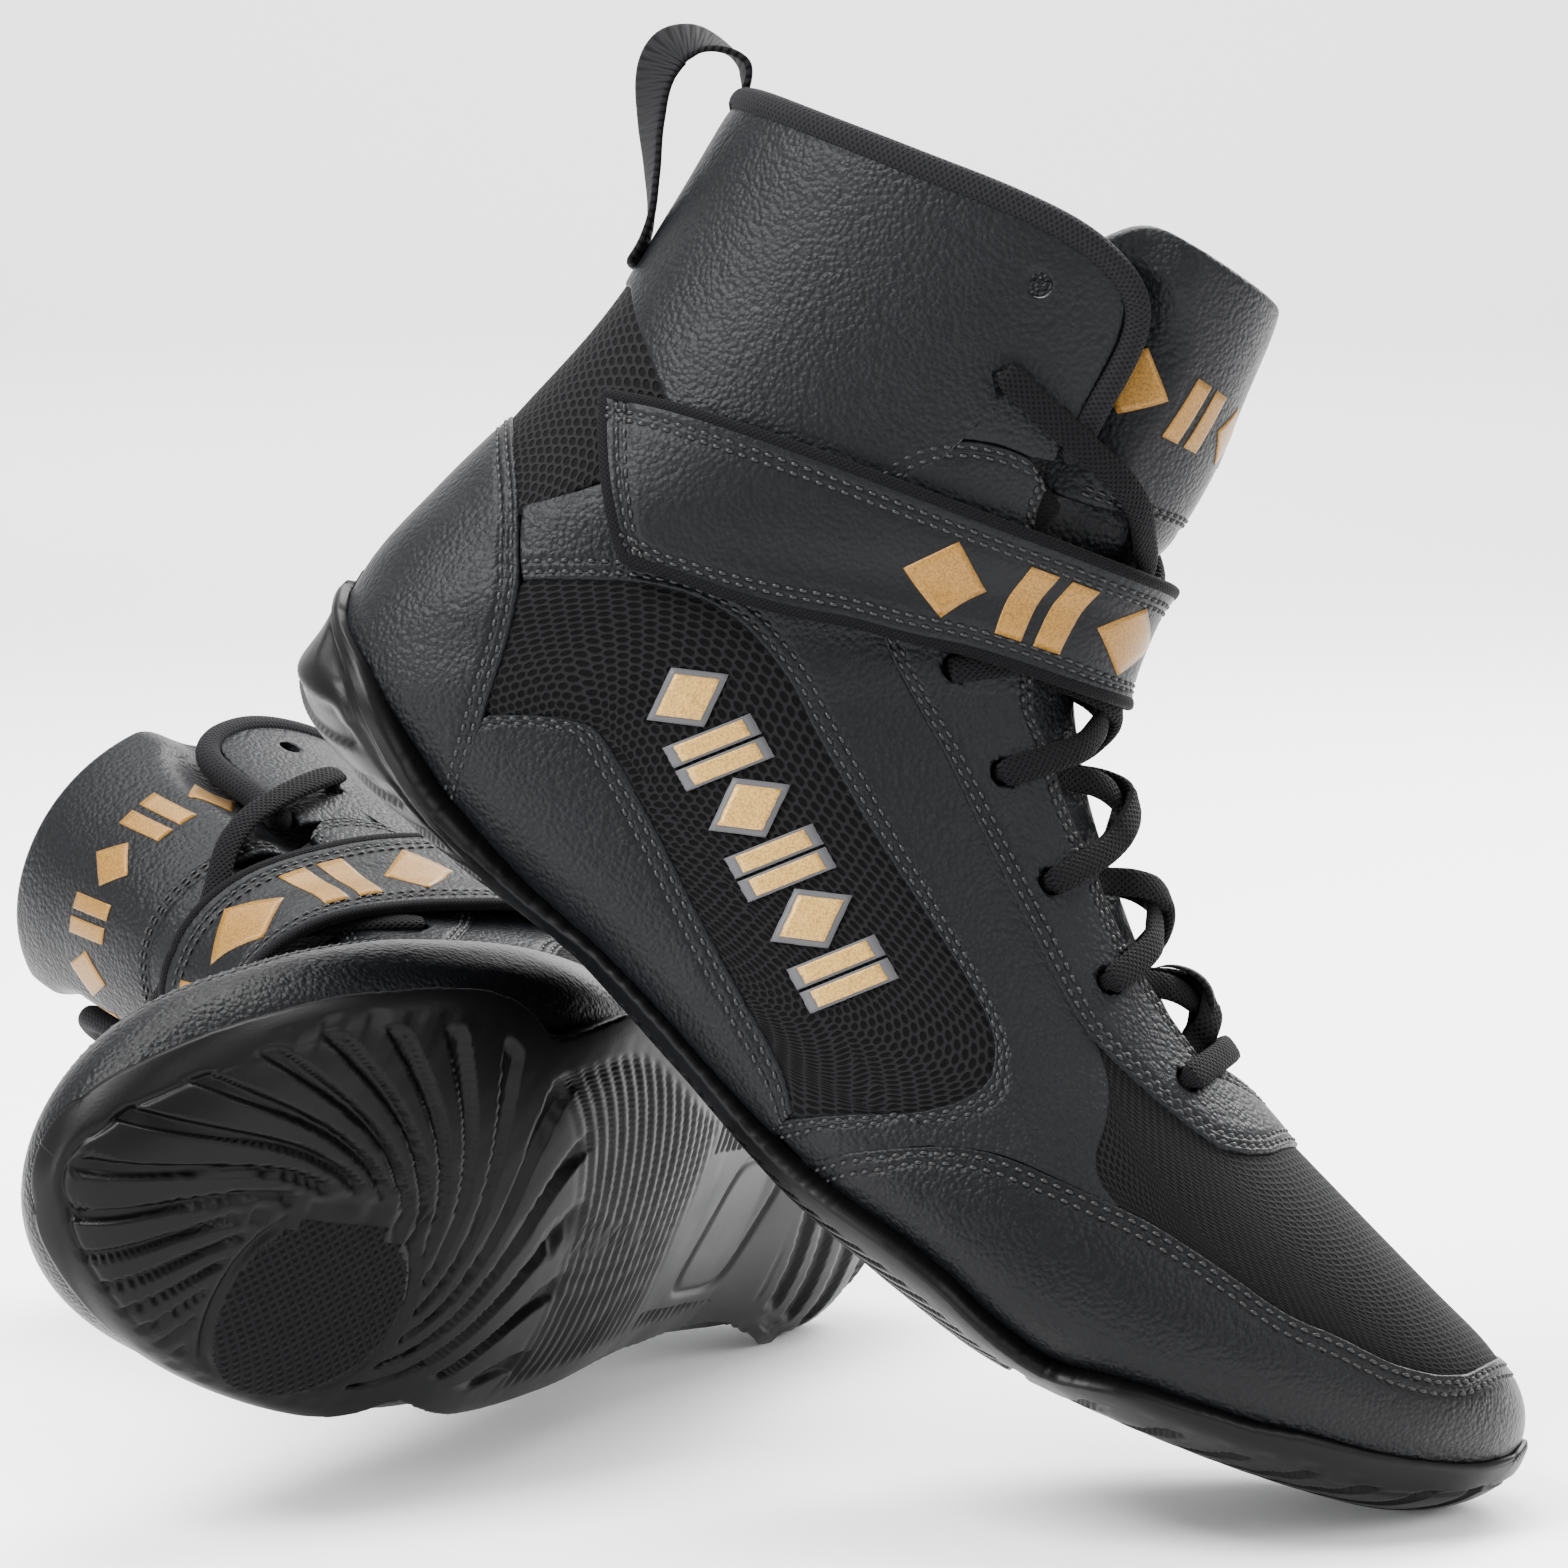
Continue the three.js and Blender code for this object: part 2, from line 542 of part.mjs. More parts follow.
// The lace runs as two zigzags from the collar eyelets down to a bar over the lowest pair. It leaves
// each eyelet over the facing and reaches the next one from beneath the opposite facing.
function laceFrames() {
  const eyelets = sideCurve(EYELETS).map((p) => [p[0], -p[1]]);
  const collar = sideCurve([CUFF_EYELETS[0]]).map((p) => [p[0], -p[1]])[0];
  const throat = resample(sideCurve(THROAT), 60);
  const over = LACE_THICKNESS / 2 + LACE_GAP;
  const beneath = (LEATHER[0] + TONGUE[1]) / 2;
  const overRoll = COLLAR_ROLL_RADIUS + LACE_THICKNESS / 2 - 0.2;
  const bend = (over - beneath) / 2;
  const edgeAt = (s) => throat.reduce((a, p) => (Math.abs(p[0] - s) < Math.abs(a[0] - s) ? p : a));
  const reach = (p) => bend / lastPoint(p[0], p[1] - 0.01).distanceTo(lastPoint(p[0], p[1])) / 100;
  const path = [];
  const strand = (from, to, side, middle, startLevel, endLevel) => {
    const start = side * (from[1] - reach(from));
    const end = -side * (to[1] - reach(to));
    const nearEdge = Math.abs(edgeAt(from[0] + (to[0] - from[0]) * 0.1)[1]);
    const farEdge = Math.abs(edgeAt(from[0] + (to[0] - from[0]) * 0.9)[1]);
    const put = (th, h) => {
      const u = smooth((start - th) / (start - end));
      path.push({ s: from[0] + (to[0] - from[0]) * u, th, h, width: LACE_WIDTH });
    };
    put(start, startLevel);
    put(side * nearEdge * (startLevel < 0 ? 0.6 : 0.82), startLevel);
    put(side * nearEdge * (startLevel < 0 ? 0.35 : 0.45), (startLevel + 2 * middle) / 3);
    put(0, middle);
    put(-side * farEdge * 0.4, (endLevel + 2 * middle) / 3);
    put(-side * farEdge * 0.78, endLevel);
    if (endLevel < 0) {
      put((end - side * farEdge * 0.78) / 2, endLevel);
    }
    put(end, endLevel);
  };
  const turn = (at, side, upwards, last = over) => {
    for (const a of [45, 90, 135]) {
      const angle = ((upwards ? a : 180 - a) * Math.PI) / 180;
      const out = at[1] - reach(at) * (1 - Math.sin(angle));
      const h = (last + beneath) / 2 - ((last - beneath) / 2) * Math.cos(angle);
      path.push({ s: at[0], th: side * out, h, width: LACE_WIDTH * 0.5 });
    }
  };
  const climb = (side, middle) => {
    let at = side;
    for (let i = 0; i < eyelets.length; i += 1) {
      const next = i + 1 < eyelets.length ? eyelets[i + 1] : collar;
      const end = i + 1 < eyelets.length ? beneath : overRoll;
      strand(eyelets[i], next, at, middle, i === 0 ? beneath : over, end);
      at = -at;
      if (i + 1 < eyelets.length) {
        turn(next, at, true);
      } else {
        turn(next, at, false, overRoll);
        path.pop();
        path.push({ s: next[0], th: at * next[1], h: beneath, width: LACE_WIDTH * 0.5 });
      }
    }
  };
  climb(-1, LACE_THICKNESS + LACE_CROSSING);
  path.reverse();
  turn(eyelets[0], -1, true);
  strand(eyelets[0], eyelets[0], -1, over + LACE_GAP, over, over);
  turn(eyelets[0], 1, false);
  climb(1, 0.35);
  return path.map((p, i) => {
    const point = offsetPoint(p.s, p.th, p.h);
    const a = path[Math.max(i - 1, 0)];
    const b = path[Math.min(i + 1, path.length - 1)];
    const along = offsetPoint(b.s, b.th, b.h).sub(offsetPoint(a.s, a.th, a.h)).normalize();
    const across = lastPoint(p.s + 0.05, p.th).sub(lastPoint(p.s - 0.05, p.th));
    across.addScaledVector(along, -across.dot(along)).normalize();
    return { point, across, up: along.clone().cross(across), width: p.width };
  });
}

// ---- pieces of one boot ----
const CURVE_STEPS = 200;
const BACK = -Math.PI;

function part(curve, from, to) {
  const fine = resample(curve, CURVE_STEPS);
  return fine.slice(Math.round(from * CURVE_STEPS), Math.round(to * CURVE_STEPS) + 1);
}

// Where along a seam the place seen at x, z from the side lies, from 0 to 1.
function nearest(curve, x, z) {
  const [s, th] = fromSide(x, z);
  const target = lastPoint(s, -th);
  const gaps = resample(curve, CURVE_STEPS).map((p) => lastPoint(p[0], p[1]).distanceTo(target));
  return gaps.indexOf(Math.min(...gaps)) / CURVE_STEPS;
}

// A lining from one station to another, open along the throat at the front.
function liningBand(from, to, steps) {
  const low = [];
  const high = [];
  const throatStart = fromSide(172, 71)[0];
  for (let i = 0; i <= steps; i += 1) {
    const s = from + (to - from) * (i / steps);
    const shaft = Math.min(Math.max((s - 12.5) / 4, 0), 1);
    const open = 0.004 + (0.92 + 0.62 * shaft) * smooth((s - throatStart + 1.2) / 2.2);
    const around = [];
    for (let j = 0; j <= LINING_SIDES; j += 1) {
      const w = (2 * j) / LINING_SIDES - 1;
      around.push(BACK + (Math.PI - open) * (w + 0.05 * Math.sin(2 * Math.PI * w)));
    }
    low.push(around.map((th) => offsetPoint(s, th, LINING[0])));
    high.push(around.map((th) => offsetPoint(s, th, LINING[1])));
  }
  return bodyFromGrid(low, high);
}

function addInside(add) {
  add("outsole", outsole(), LOOKS.rubber);
  add("forefoot_lining", liningBand(LINING_ENDS[0], LINING_SPLIT - LINING_JOINT, 8), LOOKS.lining);
  add("shaft_lining", liningBand(LINING_SPLIT + LINING_JOINT, LINING_ENDS[1], 9), LOOKS.lining);
  const edge = [];
  for (let i = 0; i <= 20; i += 1) {
    const s = SOCK_ENDS[0] + (SOCK_ENDS[1] - SOCK_ENDS[0]) * (i / 20);
    edge.push([s, BACK + SOCK_HALF_ANGLE * Math.sqrt(Math.sin(Math.PI * (0.06 + 0.88 * (i / 20))))]);
  }
  const otherEdge = edge.map((p) => [p[0], 2 * BACK - p[1]]);
  add("sock_liner", panel(edge, otherEdge, 14, 4, SOCK, 0, null, 0), LOOKS.textile);
}

function addHeel(add, rand, counterTop) {
  const counterLow = part(rand, 0, nearest(rand, 20, 10));
  const counter = panel(
    acrossTo(counterTop.slice().reverse(), BACK),
    acrossTo(counterLow.reverse(), BACK),
    24, 3, LEATHER,
  );
  add("heel_counter", counter, LOOKS.leather);
  const meshLow = part(counterTop, 0, nearest(counterTop, -9.5, 58.5));
  const mesh = panel(
    acrossTo(sideCurve(ACHILLES_TOP).reverse(), BACK),
    acrossTo(meshLow.reverse(), BACK),
    14, 2, MESH, 1.3,
  );
  add("achilles_mesh", mesh, LOOKS.mesh);
}

// The panels of one side: "lateral" is the outer one, with sign -1, and "medial" the inner one.
function addSide(add, side, sign, rand) {
  const of = (curve) => sideOf(curve, sign);
  const quarterOuter = [
    ...sideCurve(ACHILLES_FRONT),
    ...sideCurve(CUFF_JOIN).slice(1),
    ...sideCurve(FACING_SEAM).slice(1),
    ...sideCurve(QUARTER_FRONT).slice(1),
    ...sideCurve(TOE_TOP).slice(0, 7).reverse(),
  ];
  const quarterInner = sideCurve(WINDOW_TOP.concat([[105.5, 7.2]]));
  add(`quarter_${side}`, panel(of(quarterOuter), of(quarterInner), 28, 2, LEATHER), LOOKS.leather);

  const window = panel(of(sideCurve(WINDOW_TOP)), of(sideCurve(SADDLE_TOP)), 16, 2, MESH);
  add(`side_mesh_${side}`, window, LOOKS.mesh);

  const saddleLow = part(rand, nearest(rand, 24, 9.6), nearest(rand, 101, 6.2));
  add(`saddle_${side}`, panel(of(sideCurve(SADDLE_TOP)), of(saddleLow), 16, 3, LEATHER), LOOKS.leather);

  const upper = sideCurve(CUFF_TOP).concat(sideCurve(CUFF_FRONT).slice(1));
  upper[0][1] = CUFF_BACK;
  const lower = [
    ...sideCurve(ACHILLES_TOP),
    ...sideCurve(CUFF_JOIN).slice(1),
    ...sideCurve(FACING_ARCH).slice(1),
    ...sideCurve([[50, 131]]),
  ];
  lower[0][1] = CUFF_BACK;
  const cuff = panel(of(upper), of(lower), 18, 4, LEATHER, 1.2);
  add(`cuff_${side}`, cutHoles(cuff, of(sideCurve(CUFF_EYELETS)), EYELET_RADIUS), LOOKS.leather);
}

function addFront(add, rand) {
  const inner = acrossTo(sideCurve(THROAT).concat([ridgeOf(170, 74)]), 0);
  const outer = [
    ...sideCurve(FACING_ARCH).reverse(),
    ...sideCurve(FACING_SEAM).slice(1),
    ...sideCurve(FACING_FRONT).slice(1),
    ridgeOf(183, 72.7),
  ];
  const facing = panel(inner, acrossTo(outer, 0), 36, 3, LEATHER, 1.1);
  const holes = sideCurve(EYELETS).concat(mirrored(sideCurve(EYELETS)));
  add("facing", cutHoles(facing, holes, EYELET_RADIUS), LOOKS.leather);

  const vampBack = [
    ...sideCurve(QUARTER_FRONT).reverse(),
    ...sideCurve(FACING_FRONT).slice(1),
    ridgeOf(183, 72.7),
  ];
  const vampFront = sideCurve(TOE_TOP).slice(6).concat([ridgeOf(240, 69.8)]);
  const vamp = panel(acrossTo(vampBack, 0), acrossTo(vampFront, 0), 24, 4, MESH, 1.3, null, 4);
  add("vamp_mesh", vamp, LOOKS.mesh);

  const guardTop = sideCurve(TOE_TOP).concat([ridgeOf(240, 69.8)]);
  const guardLow = part(rand, nearest(rand, 116, 6.2), 1).concat([ridgeOf(253.6, 61)]);
  const guard = panel(acrossTo(guardTop, 0), acrossTo(guardLow, 0), 24, 6, LEATHER);
  add("toe_guard", guard, LOOKS.leather);
}

// The tongue: a lower part fixed under the facing and a free top above the hem.
function addTongue(add) {
  const rise = (s, th) => {
    const up = smooth((s - 13.7) / 2.5);
    const near = 1 - smooth((Math.abs(th) - 0.45) / 0.3);
    return (TONGUE_TOP[1] - TONGUE[1]) * up * near;
  };
  const edge = [];
  for (let i = 0; i <= 16; i += 1) {
    const s = TONGUE_FRONT + (TONGUE_HEM - 0.08 - TONGUE_FRONT) * (i / 16);
    edge.push([s, -(0.35 + 0.52 * smooth(i / 5))]);
  }
  add("tongue", panel(edge, mirrored(edge), 13, 6, TONGUE, 0, rise, 0), LOOKS.leather);

  const wing = sideCurve(TONGUE_WING);
  const hem = TONGUE_HEM + 0.06;
  const low = wing.concat([[hem, wing[wing.length - 1][1]], [hem, 0]]);
  const crest = sideCurve(TONGUE_CREST).concat([[TONGUE_CREST_STATION, 0]]);
  const top = panel(acrossTo(low, 0), acrossTo(crest, 0), 16, 3, TONGUE_TOP, 0, null, 0);
  add("tongue_top", top, LOOKS.leather);

  const keeper = [[fromSide(140, 82)[0], -0.16], [fromSide(156, 77)[0], -0.16]];
  add("tongue_lace_loop", panel(keeper, mirrored(keeper), 4, 2, KEEPER, 0, null, 0), LOOKS.textile);
}

function addTrim(add) {
  add("lace", sweep(laceFrames(), LACE_WIDTH, LACE_THICKNESS, 4), LOOKS.textile);
  const collar = framesOn(acrossTo(sideCurve(COLLAR_LINE), BACK), 38, () => COLLAR_ROLL_DEPTH);
  const roll = sweep(collar, COLLAR_ROLL_RADIUS * 2, COLLAR_ROLL_RADIUS * 2, 6);
  add("collar_binding", roll, LOOKS.textile);
  const line = new THREE.CatmullRomCurve3(
    PULL_LOOP.map((p) => new THREE.Vector3(p[0] * KX, 0, p[1] * KZ)),
  );
  const frames = [];
  for (let i = 0; i <= 14; i += 1) {
    const along = line.getTangentAt(i / 14);
    const across = new THREE.Vector3(0, 1, 0);
    frames.push({ point: line.getPointAt(i / 14), across, up: across.clone().cross(along) });
  }
  add("pull_loop", sweep(frames, LOOP_WIDTH, LOOP_THICKNESS, 4), LOOKS.textile);
}

// The strap: a sewn base over the instep and a free end held by hook and loop.
function addStrap(add) {
  const steps = 120;
  const top = resample(acrossTo(sideCurve(STRAP_TOP).concat([ridgeOf(88.5, 135)]), 0), steps);
  const low = resample(acrossTo(sideCurve(STRAP_BOTTOM).concat([ridgeOf(97.5, 109.5)]), 0), steps);
  const band = (from, to, share) => {
    const a = [];
    const b = [];
    for (let i = 0; i <= 40; i += 1) {
      const k = (from + (to - from) * (i / 40)) * steps;
      const n = Math.min(Math.floor(k), steps - 1);
      const at = (curve) => [0, 1].map((c) => curve[n][c] + (curve[n + 1][c] - curve[n][c]) * (k - n));
      const p = at(top);
      const q = at(low);
      const half = (share * STRAP_WIDTH) / STRAP_LINES_APART / 2;
      a.push([0, 1].map((c) => (p[c] + q[c]) / 2 + (p[c] - q[c]) * half));
      b.push([0, 1].map((c) => (p[c] + q[c]) / 2 - (p[c] - q[c]) * half));
    }
    return [a, b];
  };
  const layer = [STRAP_UNDERSIDE, STRAP_UNDERSIDE + STRAP_THICKNESS];
  const rise = (s, th) => STRAP_RISE * (1 - smooth((Math.abs(th) - 0.35) / 0.5));
  const base = band(STRAP_SPLIT + STRAP_GAP, STRAP_ANCHOR, 1);
  add("strap_base", panel(...base, 16, 3, layer, 0, rise, 0), LOOKS.leather);
  const tab = band(0, STRAP_SPLIT - STRAP_GAP, 1);
  add("strap_tab", panel(...tab, 10, 3, layer, 0, rise, 0), LOOKS.leather);
  add("hook_patch", panel(...band(0.02, 0.17, 0.72), 7, 2, HOOK_PATCH, 0, null, 0), LOOKS.textile);
  add("loop_patch", panel(...band(0.015, 0.21, 0.78), 8, 2, LOOP_PATCH, 0, null, 0), LOOKS.textile);
  const emblem = panel(sideCurve(EMBLEM_TOP), sideCurve(EMBLEM_BOTTOM), 8, 2, EMBLEM, 0, null, 0);
  add("side_emblem", emblem, LOOKS.gold);
}

function bootPieces(prefix) {
  const boot = new THREE.Group();
  const add = (name, geometry, look) => addPiece(boot, prefix, name, geometry, look);
  const rand = sideCurve(RAND);
  addInside(add);
  addHeel(add, rand, sideCurve(COUNTER_TOP));
  addSide(add, "lateral", -1, rand);
  addSide(add, "medial", 1, rand);
  addFront(add, rand);
  addTongue(add);
  addTrim(add);
  addStrap(add);
  return boot;
}

// ---- placing ----
function mirrorBoot(boot) {
  for (const piece of boot.children) {
    const g = piece.geometry;
    g.scale(1, -1, 1);
    outward(g);
  }
  return boot;
}

function turned(boot, toe, across) {
  const x = new THREE.Vector3(...toe).normalize();
  const y = new THREE.Vector3(...across);
  y.addScaledVector(x, -x.dot(y)).normalize();
  const z = x.clone().cross(y);
  boot.quaternion.setFromRotationMatrix(new THREE.Matrix4().makeBasis(x, y, z));
  boot.updateMatrixWorld(true);
  const box = new THREE.Box3().setFromObject(boot, true);
  boot.position.z = -box.min.z;
  boot.updateMatrixWorld(true);
  return boot;
}

// Points all over the outside of a boot, to measure how far apart the two are.
function hullPoints(boot, mirror) {
  const out = [];
  for (let s = 0.5; s < 20; s += 0.25) {
    for (let k = 0; k < 40; k += 1) {
      const th = -Math.PI + (2 * Math.PI * k) / 40;
      const sole = s < 14 && Math.abs(th) > 2.6;
      const p = offsetPoint(s, th, sole ? SOLE_THICKNESS * soleShare(s) + SOLE_GAP : 0);
      p.y *= mirror;
      out.push(p.applyMatrix4(boot.matrixWorld));
    }
  }
  return out;
}

const right = turned(bootPieces("right"), RIGHT_TOE, RIGHT_INNER);
const left = turned(mirrorBoot(bootPieces("left")), LEFT_TOE, LEFT_OUTER);
left.position.x = LEFT_ASIDE * KX;
left.updateMatrixWorld(true);

// The left boot is slid in from behind until the right boot's arch rests on its side.
const rightPoints = hullPoints(right, 1);
const leftPoints = hullPoints(left, -1);
let near = 40;
let far = 200;
for (let k = 0; k < 11; k += 1) {
  const mid = (near + far) / 2;
  let least = Infinity;
  for (const a of rightPoints) {
    for (const b of leftPoints) {
      const dx = a.x - b.x;
      const dy = a.y - b.y - mid;
      const dz = a.z - b.z;
      least = Math.min(least, dx * dx + dy * dy + dz * dz);
    }
  }
  if (Math.sqrt(least) < RESTING_GAP) {
    near = mid;
  } else {
    far = mid;
  }
}
left.position.y = far;

const pair = new THREE.Group();
pair.add(left, right);
pair.updateMatrixWorld(true);
const bounds = new THREE.Box3().setFromObject(pair, true);
pair.position.set(-(bounds.min.x + bounds.max.x) / 2, -(bounds.min.y + bounds.max.y) / 2, -bounds.min.z);

export default pair;
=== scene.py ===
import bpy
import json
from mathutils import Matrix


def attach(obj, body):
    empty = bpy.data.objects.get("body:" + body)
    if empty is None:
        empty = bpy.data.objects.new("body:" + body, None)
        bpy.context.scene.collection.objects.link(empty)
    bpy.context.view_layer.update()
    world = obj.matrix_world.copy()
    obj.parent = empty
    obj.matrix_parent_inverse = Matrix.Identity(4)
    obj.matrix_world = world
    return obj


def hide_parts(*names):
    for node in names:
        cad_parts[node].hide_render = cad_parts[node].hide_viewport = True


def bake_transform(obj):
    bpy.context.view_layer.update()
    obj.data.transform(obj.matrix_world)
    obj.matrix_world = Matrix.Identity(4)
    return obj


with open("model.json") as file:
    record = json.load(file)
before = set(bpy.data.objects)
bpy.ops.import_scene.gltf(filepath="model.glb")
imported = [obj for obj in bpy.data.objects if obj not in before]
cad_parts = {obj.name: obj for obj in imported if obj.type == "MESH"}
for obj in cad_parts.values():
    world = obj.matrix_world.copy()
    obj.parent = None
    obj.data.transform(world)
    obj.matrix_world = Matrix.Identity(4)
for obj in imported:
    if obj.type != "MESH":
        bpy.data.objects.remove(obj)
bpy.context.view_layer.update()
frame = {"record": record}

# A pair of black high-top boxing boots. Each boot is built once on a smooth "last" surface, in its
# own frame in millimetres (x to the toe, y to the inner side, z up), and the left one is mirrored.
# A point of the last is (s, th): the station from the toe tip (0) to the top of the shaft (20), and
# the angle round the section, 0 on the ridge, pi under the sole, negative on the outer side.

import json
import math

import bmesh
import bpy
import numpy as np
from mathutils import Matrix, Vector

MM = 0.001
PI = math.pi

# ---- sizes (mm), close to the CAD model's; soft pieces are a little fuller ----
STRAP_THICKNESS = 2.0
STRAP_UNDERSIDE = 2.8
STRAP_TOP_FACE = STRAP_UNDERSIDE + STRAP_THICKNESS
STRAP_RISE = 1.8
BINDING_WIDTH = 2.6
LACE_WIDTH = 5.6
LACE_THICKNESS = 2.4
LOOP_WIDTH = 16
LOOP_THICKNESS = 1.6
SOLE_THICKNESS = 5.0
RAND_THICKNESS = 1.8
SOLE_GAP = 0.3
COLLAR_ROLL_RADIUS = 2.8
COLLAR_DEPTH = -1.0
CUFF_HOLE = 2.4
FACING_HOLE = 2.7
LEATHER_LOW = -1.5
MESH_LOW = -1.6
TONGUE_LOW = -5.3
TONGUE_TURNED_IN = -6.2
TUCK = 2.5  # how far a panel runs on under its neighbour
STATION_LENGTH = 18  # about the distance between two stations

# ---- places: seen from the side (x, z), from below (x, y), or as shares and stations ----
BACK = -PI
TOE_TIP = (253.6, 61)
QUARTER_CORNER = (163, 41)
ACHILLES_CORNER = (-9.5, 58.5)
CUFF_JOIN = [(4, 85), (15, 90.5), (28, 95.5), (40, 100)]
TONGUE_HEM = 16.2
STRAP_SPLIT = 0.34
DISC_CENTRE = (207.0, 21.0)
DISC_RADIUS = 20.0
HEEL_CENTRE = (66, -34)
ARM_COUNT = 24
HEEL_ARM_COUNT = 30
RING_PITCH = 3.3

COLLAR_STEPS = 220
PRINT_CELLS = 6
PRINT_SLANT = 0.012

# ---- how each boot lies: its toe and inner-side directions ----
TURNS = {
    "right": ((0.7269, -0.1185, -0.6765), (0.026, 0.9891, -0.1453)),
    "left": ((-0.4085, -0.8988, 0.1589), (0.4058, -0.0229, 0.9137)),
}

# Stations: front line x z, back line x z, half width outer, inner, centre, widest, exponents.
STATIONS = np.array([
    [255.5, 54, 255.5, 54, 0, 0, 9, 0.5, 2, 2],
    [252.5, 62.5, 250.5, 45, 15, 15, 8.5, 0.52, 2, 2.3],
    [246, 67.6, 240, 36, 27, 26, 7.5, 0.56, 2, 2.6],
    [236, 70, 227, 29, 36, 34.5, 6, 0.6, 2, 2.9],
    [220, 70.8, 209, 21, 43.5, 41, 4, 0.65, 1.9, 3.2],
    [200, 71.5, 188, 13, 48, 45, 2, 0.68, 1.8, 3.4],
    [179, 73, 165, 6.5, 49.5, 45.5, 0.5, 0.7, 1.7, 3.5],
    [160, 75.5, 142, 4.4, 48.5, 43.5, 0, 0.71, 1.65, 3.5],
    [143, 81, 116, 2.6, 45, 40.5, 0, 0.71, 1.65, 3.5],
    [127, 88.2, 87, 3.6, 41, 37.5, 0, 0.7, 1.7, 3.4],
    [113, 96, 56, 5.6, 38, 36, 0, 0.69, 1.75, 3.3],
    [102, 103.5, 26, 5.4, 36, 35, 0, 0.68, 1.8, 3.3],
    [94.5, 110.5, 0, 5.6, 35, 34.5, 0, 0.67, 1.9, 3.2],
    [90.3, 118, -18, 11, 34.5, 34.5, 0, 0.65, 2, 2.8],
    [87.5, 126, -25.5, 30, 34.5, 34.5, 0, 0.61, 2, 2.4],
    [86, 134, -26, 52, 35, 35, 0, 0.57, 2, 2.2],
    [84.5, 142.5, -25.5, 75, 36, 36, 0, 0.54, 2, 2.1],
    [82, 152, -26, 98, 37, 37, 0, 0.52, 2, 2.1],
    [78.5, 163, -30.5, 121, 38.5, 38.5, 0, 0.5, 2, 2.1],
    [74, 175, -35.5, 145, 40, 40, 0, 0.5, 2, 2.1],
    [69, 189, -38, 166, 41, 41, 0, 0.5, 2, 2.1],
])
LAST = len(STATIONS) - 1
_first = STATIONS[1][[2, 3, 0, 1, 4, 5, 6, 7, 8, 9]] * np.array([1, 1, 1, 1, -1, -1, 1, 1, 1, 1])
_ROWS = np.vstack([_first, STATIONS, 2 * STATIONS[LAST] - STATIONS[LAST - 1]])


def smooth(u):
    c = np.clip(u, 0, 1)
    return c * c * (3 - 2 * c)


def section(s):
    i = np.clip(np.floor(s), 0, LAST - 1).astype(int)
    u = (s - i)[..., None]
    p0, p1, p2, p3 = (_ROWS[i + k] for k in range(4))
    a = 2 * p0 - 5 * p1 + 4 * p2 - p3
    b = 3 * p1 - p0 - 3 * p2 + p3
    return 0.5 * (2 * p1 + (p2 - p0) * u + a * u * u + b * u ** 3)


def last_point(s, th):
    s, th = np.broadcast_arrays(np.asarray(s, float), np.asarray(th, float))
    r = section(s)
    a = np.abs(np.arctan2(np.sin(th), np.cos(th)))
    c = np.abs(np.cos(a))
    n = np.abs(np.sin(a))
    upper = a <= PI / 2
    widest, above, below = r[..., 7], 2 / r[..., 8], 2 / r[..., 9]
    t = np.where(upper, widest * (1 - c ** above), widest + (1 - widest) * c ** below)
    f = np.where(upper, n ** above, n ** below)
    y = r[..., 6] + np.where(np.sin(th) < 0, -r[..., 4], r[..., 5]) * f
    x = r[..., 0] + (r[..., 2] - r[..., 0]) * t
    z = r[..., 1] + (r[..., 3] - r[..., 1]) * t
    return np.stack([x, y, z], -1)


def last_normal(s, th):
    e = 0.02
    s = np.asarray(s, float)
    along = last_point(s + e, th) - last_point(np.maximum(s - e, 0), th)
    around = last_point(s, th + e) - last_point(s, th - e)
    n = np.cross(around, along)
    return n / np.maximum(np.linalg.norm(n, axis=-1, keepdims=True), 1e-9)


def ripple(s, th):
    """Slow unevenness of worn-in leather, shared by every layer so that none cuts another."""
    body = 0.22 * np.sin(1.9 * s + 2.6 * th) * np.sin(1.1 * s - 3.1 * th + 1)
    flanks = smooth(1.5 - np.abs(np.abs(th) - 1.6))
    ankle = 0.35 * np.exp(-((s - 13.3) / 1.6) ** 2) * np.sin(5.2 * s + 1.2 * np.cos(2 * th)) * flanks
    return (body + ankle) * smooth((s - 1) / 3)


def unit(v):
    return v / np.linalg.norm(v, axis=-1, keepdims=True)


def square_to(v, t):
    """The unit vectors nearest to v that stand at right angles to t."""
    return unit(v - t * np.einsum("ij,ij->i", v, t)[:, None])


def off(s, th, h):
    s = np.asarray(s, float)
    h = np.asarray(h, float) + ripple(s, th)
    return last_point(s, th) + last_normal(s, th) * h[..., None]


_GRID = np.arange(0.05, 20.6, 0.02)
_GROWS = section(_GRID)


